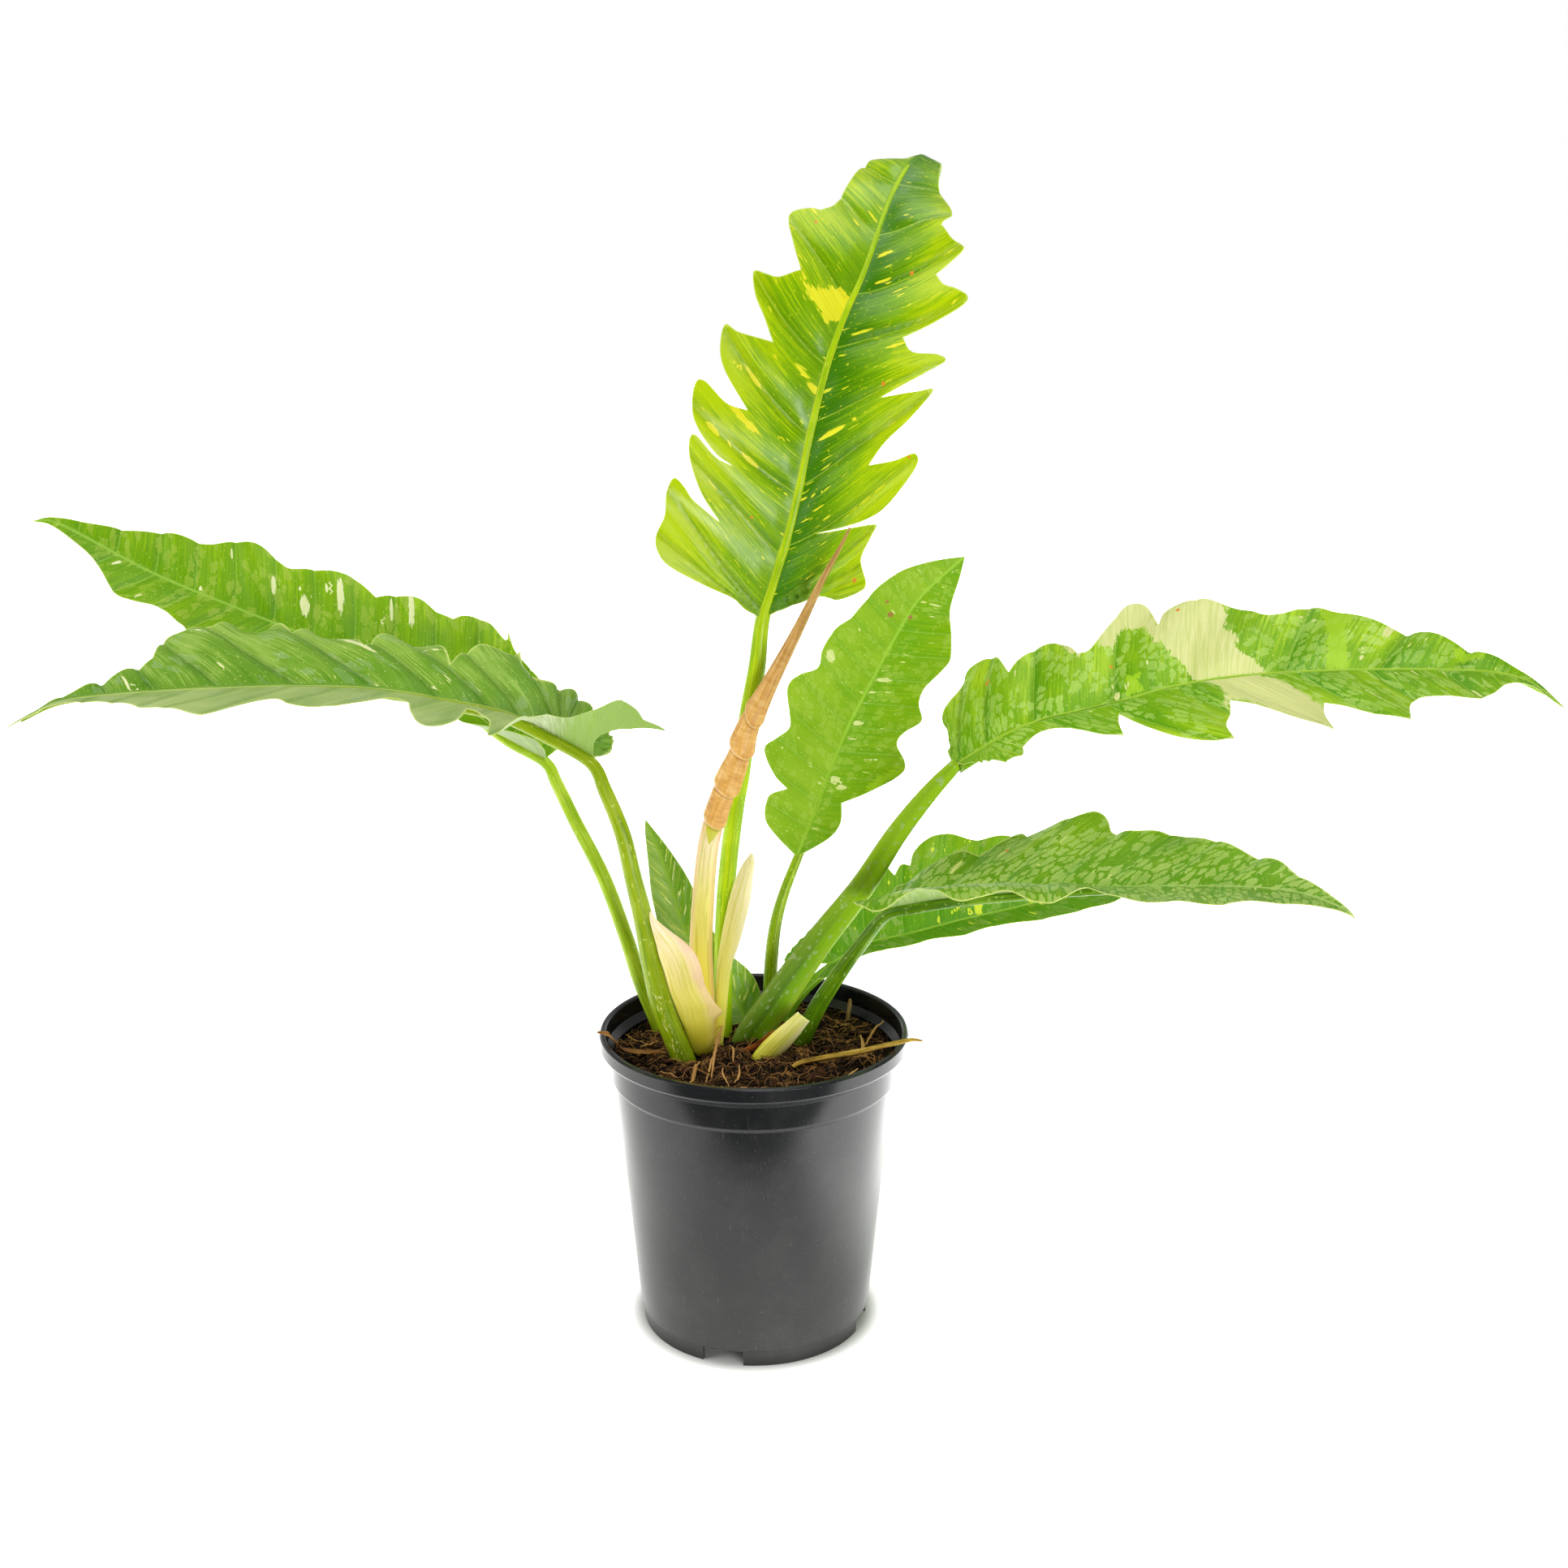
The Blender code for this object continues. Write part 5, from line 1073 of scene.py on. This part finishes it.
dryPieces = dict(
    dry_orange_strip=dict(
        node="sheath_dry_strip", slot="dry_sheath",
        sections=[(-10, -1, 146, 3, 1), (-6, -1, 152, 3.4, 1.2), (2, -2, 157, 3.6, 1.2),
                  (11, -2.5, 164, 3.2, 1), (22, -3, 168, 1.6, 0.8)],
        look=dict(dark="#6E3410", mid="#B4641E", pale="#D98A34")),
    dry_straw_stalk=dict(
        node="dry_stalk", slot="dry_stalk", face=(0, 0, 1),
        sections=[(16, -22, 146, 2, 2), (22, -21, 153.5, 3.4, 2.4), (36, -20, 157, 4, 2.6),
                  (56, -23, 162, 4.8, 2.6), (66, -26, 166, 5.2, 2.2), (73, -29, 169, 4.2, 2.0),
                  (82, -31, 172, 2.6, 1.6), (88, -30, 171, 1, 1)],
        look=dict(dark="#7A5A1C", mid="#B8963A", pale="#D9B45E")),
    dry_leaf_shred=dict(
        node="dry_leaf_scrap", slot="dry_scrap", face=(0, 0, 1),
        sections=[(-82, -17, 170.5, 2, 1), (-76, -19, 170, 6, 1.2), (-70, -16, 161, 7, 1.2),
                  (-60, -10, 156.5, 7, 1.2), (-48, -4, 153.5, 3, 1), (-44, -2, 146, 2, 1)],
        look=dict(dark="#5A3418", mid="#96622E", pale="#C79552")),
    root_end=dict(
        node="root_tip", slot="root", ring=ovalRing, sides=20, step=0.6, skin="root_end_bark",
        sections=[(52, 49, 146, 2.6, 2.6), (52, 49, 153, 2.6, 2.6), (52.6, 49, 158, 2.4, 2.4),
                  (53, 49.5, 162, 2.0, 2.0), (53, 49.5, 163.4, 1.0, 1.0)],
        look=dict(dark="#7A5A34", mid="#B4935E", pale="#D2B888")),
)


# Dead plant matter dried in air: shrunken fibres, matt, tan to brown along its length.
def driedMaterial(name, look):
    material, add = newMaterial(name, 0.72, specular=0.25)
    strand = add("Attribute", out="Vector", attribute_name="strandPlace")
    long = add("VectorMath", (strand, (1, 1, 0.08)), operation="MULTIPLY")
    fibre = add("TexNoise", {"Vector": long, "Scale": 1.3, "Detail": 4.0, "Roughness": 0.7})
    broad = add("TexNoise", {"Vector": strand, "Scale": 0.08, "Detail": 2.0})
    mixed = add("Math", (fibre, broad), operation="ADD")
    mixed = add("Math", (mixed, 0.5), operation="MULTIPLY")
    colour = add("ValToRGB", (mixed,), stops=[(0.38, look["dark"]), (0.5, look["mid"]), (0.62, look["pale"])])
    return finishMaterial(material, colour, [], fibre, 0.7, 0.0008)


for name, dry in dryPieces.items():
    points, faces, strand = sweep(dry["sections"], dry.get("sides", 28), dry.get("step", 0.8),
                                  ring=dry.get("ring", crumpledRing), face=dry.get("face", (0, -1, 0)))
    material = driedMaterial(dry.get("skin", name + "_fibre"), dry["look"])
    makePiece(name, points, faces, [material], dry["slot"], [dry["node"]], dict(strandPlace=strand))
print("dry pieces made")


soil = dict(
    level=152.0, radius=75.0, lump=2.2, coarse=3.6, fine=0.9, chips=480, fibres=2100, seed=11,
    rings=84, spokes=300, top=158.0,  # a crumb stands no higher than the top
    spread=0.975,  # share of the radius within which loose bits lie
    below=[(74.6, 145.0), (72.6, 138.8), (61.5, 13.0), (60.2, 11.6)],  # radius and height inside the pot
    dark="#070302", mid="#150B06", light="#3A2212", barkLight="#4A2C18", fibreDark="#22120A",
    fibreLight="#D09A5C", strawDark="#8A5C2C", strawLight="#D9A868",
    straws=[  # start and end on the mix, how high each end stands, and the half width
        ((-17, 13), (-22, -37), 16, 1, 0.8), ((-18, 10), (-24, -41), 8, 1, 0.7),
        ((-28, -23), (-33, -44), 3, 2, 1.1), ((-13, -2), (-10, -18), 4, 1, 0.6),
        ((-16, -34), (-13, -49), 4, 1, 0.5), ((-7, -31), (-9, -45), 5, 1, 0.6),
        ((-20, -49), (7, -51), 1, 2, 0.7), ((57, 9), (60, -6), 7, 1, 1.2), ((70, 24), (60, 10), 9, 1, 0.8),
        ((46, -42), (54, -34), 1, 4, 0.9), ((41, 32), (52, 34), 2, 2, 0.6),
        ((-62, 3), (-52, 12), 2, 3, 0.5), ((-70, 20), (-58, 6), 3, 2, 0.5), ((-4, 66), (4, 56), 8, 1, 0.8),
        ((-1, 68), (6, 62), 10, 2, 0.6), ((30, -55), (52, -44), 1, 2, 0.6),
        ((-40, -50), (-24, -56), 1, 2, 0.6), ((-50, -30), (-36, -38), 2, 1, 0.5)],
)
noise.seed_set(soil["seed"])
dice = random.Random(soil["seed"])


def soilHeight(x, y):
    mound = 2.0 * math.exp(-((x + 8) ** 2 + (y - 10) ** 2) / 1400)
    coarse = math.sin(x / 6.1 + 1.3) * math.sin(y / 5.3 + 0.4)
    fine = math.sin((x + y) / 3.7) * math.cos((x - y) / 4.4)
    rough = noise.fractal(Vector((x / 9, y / 9, 0.3)), 0.8, 2.1, 4) * soil["coarse"] * 0.5
    grit = abs(noise.noise(Vector((x / 1.7, y / 1.7, 4.0)))) * soil["fine"] * 2
    return soil["level"] + mound + soil["lump"] * (0.6 * coarse + 0.36 * fine) + rough + grit - 0.6


def placeInMillimetres(add):
    return add("VectorMath", (add("TexCoord", out="Object"), millimetresPerMetre), operation="MULTIPLY")


# Potting mix of bark, coconut fibre and peat, damp, with painted shade: near black in its hollows, brown on
# its crumbs.
def mixMaterial():
    material, add = newMaterial("damp_potting_mix", 0.9, specular=0.2)
    place = placeInMillimetres(add)
    crumbs = add("TexNoise", {"Vector": place, "Scale": 0.45, "Detail": 6.0, "Roughness": 0.72})
    grains = add("TexVoronoi", {"Vector": place, "Scale": 0.55}, out="Distance", feature="F1")
    # the noise that raises the relief also lightens the colour, so the hollows hold painted shade
    colour = add("ValToRGB", (crumbs,), stops=[(0.36, soil["dark"]), (0.52, soil["mid"]),
                                               (0.68, soil["light"])])
    height = add("Math", (grains, crumbs), operation="ADD")
    return finishMaterial(material, colour, [], height, 0.9, 0.0012)


def makeSoil():
    rings, spokes = soil["rings"], soil["spokes"]
    turns = [2 * math.pi * k / spokes for k in range(spokes)]
    points, faces = [], []
    for r in soil["radius"] * np.linspace(0.004, 1, rings):
        for a in turns:
            x, y = r * math.cos(a), r * math.sin(a)
            points.append((x, y, min(soilHeight(x, y), soil["top"])))
    for r, z in soil["below"]:
        points += [(r * math.cos(a), r * math.sin(a), z) for a in turns]
    last = len(soil["below"]) + rings - 1
    for ring in range(last):
        inner, outer = ring * spokes, (ring + 1) * spokes
        for k in range(spokes):
            j = (k + 1) % spokes
            faces.append((inner + k, outer + k, outer + j, inner + j))
    faces += [tuple(range(spokes)), tuple(range(last * spokes, (last + 1) * spokes))[::-1]]
    makePiece("potting_mix", points, faces, [mixMaterial()], "potting_mix", ["soil"])


makeSoil()
print("potting mix made")


# Loose dry bits on the mix, matt: each has a tone of its own, rougher where it has crumbled.
def tintedMaterial(name, dark, light, roughness):
    material, add = newMaterial(name, roughness, specular=0.2)
    tint = add("Attribute", out="Fac", attribute_name="tint")
    crumbs = add("TexNoise", {"Vector": placeInMillimetres(add), "Scale": 1.1, "Detail": 4.0,
                              "Roughness": 0.7})
    mixed = add("Math", (crumbs, 0.5, tint), operation="MULTIPLY_ADD")
    colour = add("ValToRGB", (mixed,), stops=[(0.2, dark), (1.2, light)])
    return finishMaterial(material, colour, [], crumbs, 0.6, 0.0006)


def spot():
    r, a = soil["radius"] * math.sqrt(dice.random()) * soil["spread"], 2 * math.pi * dice.random()
    return r * math.cos(a), r * math.sin(a)


def barkChips():
    # chips and crumbs: small uneven lumps, half sunk in the mix
    start = bmesh.new()
    bmesh.ops.create_icosphere(start, subdivisions=2, radius=1.0)
    ballPoints = np.array([v.co[:] for v in start.verts])
    ballFaces = [tuple(v.index for v in f.verts) for f in start.faces]
    start.free()
    for number in range(soil["chips"]):
        x, y = spot()
        size = dice.uniform(0.7, 1.7) if dice.random() < 0.8 else dice.uniform(1.8, 3.4)
        shape = np.array([dice.uniform(0.7, 1.6), dice.uniform(0.5, 1.0), dice.uniform(0.3, 0.7)]) * size
        turn = Matrix.Rotation(dice.uniform(0, 6.3), 3, "Z")
        turn = turn @ Matrix.Rotation(dice.uniform(-0.7, 0.7), 3, "X")
        shift = Vector((number, 0, 0))  # each lump is shaped by its own part of the noise
        lump = [p * (1 + 0.35 * noise.noise(Vector(p * 1.8) + shift)) for p in ballPoints]
        lump = (np.array(lump) * shape) @ np.array(turn.transposed())
        yield lump + (x, y, soilHeight(x, y) + 0.15 * size), ballFaces, dice.random() ** 1.6


def strandSkin(path, radius, sides, flat=1.0):
    # a thin closed strand round a path
    path = np.array(path, float)
    tangents = unit(np.gradient(path, axis=0))
    side = unit(np.cross(tangents, (0.13, 0.21, 1.0)))
    up = np.cross(side, tangents)
    share = np.linspace(0, 1, len(path))
    taper = radius * (0.35 + 0.65 * np.sin(np.pi * np.clip(share, 0.08, 0.92)))
    turn = 2 * np.pi * np.arange(sides) / sides
    ring = side[:, None] * np.cos(turn)[None, :, None] + up[:, None] * np.sin(turn)[None, :, None] * flat
    return (path[:, None] + ring * taper[:, None, None]).reshape(-1, 3), tubeFaces(len(path), sides)


def coconutFibres():
    # curled fibres that lie on the mix and stand a little out of it
    steps, edge = 9, soil["radius"] - 0.8
    for _ in range(soil["fibres"]):
        x, y = spot()
        heading = dice.uniform(0, 6.3)
        bend = dice.uniform(-0.5, 0.5)
        lift = dice.uniform(0.2, 2.4)
        length = dice.uniform(4, 16) if dice.random() < 0.85 else dice.uniform(16, 30)
        path = []
        for k in range(steps):
            share = k / (steps - 1)
            path.append((x, y, soilHeight(x, y) + lift * math.sin(math.pi * share) + 0.1))
            heading += bend + dice.uniform(-0.35, 0.35)
            x += math.cos(heading) * length / steps
            y += math.sin(heading) * length / steps
            reach = math.hypot(x, y)
            if reach > edge:
                x *= edge / reach
                y *= edge / reach
        yield *strandSkin(path, dice.uniform(0.1, 0.26), 4), dice.random() ** 2.4


def dryStraws():
    for (x0, y0), (x1, y1), rise0, rise1, half in soil["straws"]:
        path = []
        for k in range(13):
            t = k / 12
            x = x0 + (x1 - x0) * t + 0.7 * math.sin(5 * t + x0)
            y = y0 + (y1 - y0) * t + 0.7 * math.cos(4 * t + y0)
            path.append((x, y, soilHeight(x, y) + rise0 * (1 - t) ** 1.5 + rise1 * t ** 2 + 0.4))
        yield *strandSkin(path, half, 8, flat=0.45), 0.3 + 0.6 * dice.random()


def makeBits(name, bits, material):
    # one piece of many small closed skins, each with its tint
    points, faces, tints = [], [], []
    for skin, skinFaces, tint in bits:
        first = len(points)
        points.extend(skin.tolist())
        faces.extend(tuple(i + first for i in f) for f in skinFaces)
        tints.extend([tint] * len(skin))
    makePiece(name, points, faces, [material], "potting_mix", [], dict(tint=tints))


makeBits("bark_crumbs", barkChips(), tintedMaterial("crumbled_bark", soil["dark"], soil["barkLight"], 0.85))
makeBits("coconut_fibres", coconutFibres(),
         tintedMaterial("coconut_fibre", soil["fibreDark"], soil["fibreLight"], 0.75))
makeBits("dry_straws", dryStraws(), tintedMaterial("dry_straw", soil["strawDark"], soil["strawLight"], 0.7))
print("bark, fibres and straws made")


pot = dict(
    rim=82.5, height=166.5, lip=8.0, band=76.4, bandBottom=142.0, wallTop=74.4, wallBottom=63.0, wall=1.3,
    foot=61.2, footHeight=9.0, skirt=62.7, floor=11.0, floorEdge=60.8, innerFoot=62.2, innerStep=153.4,
    lipWidth=3.5, underLip=78.2, softEdge=0.35, facets=180,
    slots=4, slotWidth=22.0, slotHeight=8.0, slotPlace=62.0, slotReach=26.0, firstSlot=-105.5,
    black="#101214", worn="#181A1C", dust="#8C8A84",
)


# Polypropylene coloured black and injection-moulded: satin, with faint flow lines, scuffs and dust.
def potMaterial():
    material, add = newMaterial("moulded_black_polypropylene", 0.22, ior=1.49, specular=0.38)
    place = placeInMillimetres(add)
    upright = add("VectorMath", (place, (1, 1, 0.05)), operation="MULTIPLY")
    broad = add("TexNoise", {"Vector": place, "Scale": 0.02, "Detail": 3.0})
    smears = add("TexNoise", {"Vector": place, "Scale": 0.045, "Detail": 6.0, "Roughness": 0.65})
    scuffs = add("TexNoise", {"Vector": upright, "Scale": 0.9, "Detail": 1.0})
    specks = add("TexNoise", {"Vector": place, "Scale": 1.3, "Detail": 1.0})
    colour = add("ValToRGB", (broad,), stops=[(0.35, pot["black"]), (0.7, pot["worn"])])
    # the wall grows paler towards the foot; handling leaves dull smears, thin upright scuffs and specks
    low = add("MapRange", (add("SeparateXYZ", (place,), out=2), 145.0, 15.0, 0.0, 0.075))
    layers = [(low, pot["dust"])]
    for field, start, end, most in ((smears, 0.45, 0.75, 0.05), (scuffs, 0.72, 0.76, 0.08),
                                    (specks, 0.75, 0.78, 0.4)):
        layers.append((add("ValToRGB", (field,), stops=[(start, 0.0), (end, most)]), pot["dust"]))
    flow = add("TexNoise", {"Vector": place, "Scale": 0.05, "Detail": 5.0})
    grain = add("TexNoise", {"Vector": place, "Scale": 2.2, "Detail": 2.0})
    gloss = add("MapRange", (flow, 0.3, 0.7, 0.16, 0.23))
    return finishMaterial(material, colour, layers, grain, 0.08, 0.0002, Roughness=gloss)


def makePot():
    top, rim = pot["height"], pot["rim"]
    lipBottom, inner = top - pot["lip"], rim - pot["lipWidth"]
    band, wall, foot, footHeight = pot["band"], pot["wall"], pot["foot"], pot["footHeight"]
    floor, bandBottom, wallTop = pot["floor"], pot["bandBottom"], pot["wallTop"]
    profile = [
        (0, floor), (pot["floorEdge"], floor), (pot["innerFoot"], floor + 1.4),
        (wallTop - wall, bandBottom - 2.4), (band - wall, bandBottom + 1.0),
        (band - wall + 0.4, pot["innerStep"]), (inner, lipBottom - 1.6),
        (inner, top - 0.8), (inner + 0.8, top), (rim - 0.9, top), (rim, top - 0.9), (rim, lipBottom + 1.0),
        (rim - 1.4, lipBottom - 1.0), (pot["underLip"], lipBottom - 2.8), (band + 0.7, lipBottom - 3.6),
        (band, lipBottom - 4.4), (band, bandBottom + 0.4), (band - 0.5, bandBottom - 1.0),
        (wallTop, bandBottom - 2.6), (pot["wallBottom"], footHeight + 1.5), (pot["skirt"], footHeight + 0.2),
        (foot + 0.5, footHeight - 0.6), (foot, 0), (foot - 2.4, 0), (foot - 2.4, footHeight), (0, footHeight),
    ][::-1]
    mesh = bpy.data.meshes.new("nursery_pot_skin")
    mesh.from_pydata([(r * mm, 0, z * mm) for r, z in profile],
                     [(k, k + 1) for k in range(len(profile) - 1)], [])
    piece = linkObject("black_nursery_pot", mesh)
    turn = piece.modifiers.new("Turn", "SCREW")
    turn.steps = turn.render_steps = pot["facets"]
    turn.use_merge_vertices = True
    turn.merge_threshold = 0.00001
    turn.use_smooth_shade = True
    # drain slots through the foot ring
    work = bmesh.new()
    slotSize = [size * mm for size in (pot["slotReach"], pot["slotWidth"], 2 * pot["slotHeight"])]
    for slot in range(pot["slots"]):
        angle = math.radians(pot["firstSlot"] + 360 / pot["slots"] * slot)
        made = bmesh.ops.create_cube(work, size=1.0)["verts"]
        bmesh.ops.scale(work, verts=made, vec=slotSize)
        bmesh.ops.translate(work, verts=made, vec=(pot["slotPlace"] * mm, 0, 0))
        bmesh.ops.rotate(work, verts=made, cent=(0, 0, 0), matrix=Matrix.Rotation(angle, 3, "Z"))
    cutterMesh = bpy.data.meshes.new("drain_slots")
    work.to_mesh(cutterMesh)
    work.free()
    cutter = linkObject("drain_slots", cutterMesh)
    cut = piece.modifiers.new("Slots", "BOOLEAN")
    cut.operation, cut.solver, cut.object = "DIFFERENCE", "EXACT", cutter
    soft = piece.modifiers.new("Soft edges", "BEVEL")
    soft.width, soft.segments, soft.limit_method = pot["softEdge"] * mm, 2, "ANGLE"
    soft.angle_limit = math.radians(24)
    piece.modifiers.new("Even shading", "WEIGHTED_NORMAL").keep_sharp = True
    made = bpy.data.meshes.new_from_object(piece.evaluated_get(bpy.context.evaluated_depsgraph_get()))
    piece.modifiers.clear()
    piece.data = made
    bpy.data.objects.remove(cutter, do_unlink=True)
    made.materials.clear()
    made.materials.append(potMaterial())
    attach(piece, "root")
    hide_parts("nursery_pot")


makePot()
print("pot made")


# Creeping stem under the mix: brown corky skin with green showing through.
def stemMaterial():
    material, add = newMaterial("corky_creeping_stem", 0.75, specular=0.25)
    cork = add("TexNoise", {"Vector": placeInMillimetres(add), "Scale": 0.3, "Detail": 5.0})
    colour = add("ValToRGB", (cork,), stops=[(0.4, "#6B5A34"), (0.6, "#97935A")])
    return finishMaterial(material, colour, [], cork, 0.6, 0.001)


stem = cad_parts["stem_with_roots"]
stem.data.materials.clear()
stem.data.materials.append(stemMaterial())


studio = dict(
    cameraPlace=(0.016, -0.9794, 0.5636), cameraTilt=75.0, lens=44.98, sensor=36.0,
    floor="#F2F2F0", floorEnd="#787876", floorHalf=9,
    frontEdge=(-0.245, -0.227),  # m: the white sheet ends in front of the pot, outside the picture, on grey
    farWhite=(0.45, 1.2),  # m from the pot: the floor turns into the white background
    # lit from below, as a light table is: beside the pot more, and not under its foot
    floorGlow=0.9, leftGlow=0.62, rightGlow=2.2, glowFrom=(0.0605, 0.073),  # m from the pot's axis
    background=1.0, roomFront=0.12, roomTop=0.32,
    # place, aim, width, height, watts, colour
    lights=dict(
        front_softbox=((0.52, -1.12, 0.21), (0, 0, 0.47), 0.6, 0.44, 10.0, "#FFFFFF"),
        left_softbox=((-1.5, -0.6, 0.9), (0, 0, 0.35), 0.9, 1.1, 14.0, "#FFFDF8"),
        top_softbox=((0.2, -0.2, 1.9), (0, 0, 0.3), 1.6, 1.2, 16.5, "#FFFFFF"),
    ),
)

camera = linkObject("camera", bpy.data.cameras.new("camera"))
camera.location = studio["cameraPlace"]
camera.rotation_euler = (math.radians(studio["cameraTilt"]), 0, 0)
camera.data.lens = studio["lens"]
camera.data.sensor_width = studio["sensor"]
bpy.context.scene.camera = camera

for name, (place, aim, width, height, watts, tint) in studio["lights"].items():
    data = bpy.data.lights.new(name, "AREA")
    data.shape = "RECTANGLE"
    data.size, data.size_y, data.energy = width, height, watts
    data.color = linearColour(tint)[:3]
    light = linkObject(name, data)
    light.location = place
    light.rotation_euler = (Vector(aim) - Vector(place)).to_track_quat("-Z", "Y").to_euler()


# Matt white sheet, lit from below away from the pot's foot: it gives a clean white with a soft shadow.
def floorMaterial():
    material, add = newMaterial("matt_white_floor", 0.8, specular=0.1)
    place = add("TexCoord", out="Object")
    across, back, _ = add("SeparateXYZ", (place,), out=None)
    (frontStart, frontEnd), (farStart, farEnd) = studio["frontEdge"], studio["farWhite"]
    front = add("MapRange", (back, frontStart, frontEnd))
    colour = add("Mix", {0: front, 6: studio["floorEnd"], 7: studio["floor"]}, out=2, data_type="RGBA")
    away = add("VectorMath", (place,), out="Value", operation="LENGTH")
    glow = add("MapRange", (away, farStart, farEnd, 0.0, 1.0), interpolation_type="SMOOTHSTEP")
    for start, key in ((0.09, "rightGlow"), (-0.09, "leftGlow")):
        beside = add("MapRange", (across, start, start * 2.3, 0.0, studio[key]),
                     interpolation_type="SMOOTHSTEP")
        glow = add("Math", (glow, beside), operation="ADD")
    glow = add("Math", (glow, studio["floorGlow"]), operation="ADD")
    clear = add("MapRange", (away, studio["glowFrom"][0], studio["glowFrom"][1]),
                interpolation_type="SMOOTHSTEP")
    for mask in (clear, front):
        glow = add("Math", (glow, mask), operation="MULTIPLY")
    setInputs(material.node_tree.nodes["Principled BSDF"],
              {"Base Color": colour, "Emission Color": (1, 1, 1, 1), "Emission Strength": glow})
    return material


half = studio["floorHalf"]
floorMesh = bpy.data.meshes.new("floor")
corners = [(-half, -half, 0), (half, -half, 0), (half, half, 0), (-half, half, 0)]
floorMesh.from_pydata(corners, [], [(0, 1, 2, 3)])
floorMesh.materials.append(floorMaterial())
linkObject("floor", floorMesh)

world = bpy.data.worlds.new("soft_white_room")
bpy.context.scene.world = world
world.use_nodes = True
add = partial(addNode, world.node_tree)
_, back, up = add("SeparateXYZ", (add("TexCoord", out="Generated"),), out=None)
# white behind the plant and to its sides, darker in front of it and overhead
behind = add("MapRange", (back, -0.75, 0.1, studio["roomFront"], studio["background"]))
overhead = add("MapRange", (up, 0.14, 0.4, 1.0, studio["roomTop"]))
strength = add("Math", (behind, overhead), operation="MULTIPLY")
setInputs(world.node_tree.nodes["Background"], {"Strength": strength, "Color": (1, 1, 1, 1)})
bpy.context.scene.view_settings.view_transform = "Standard"
print("studio made")
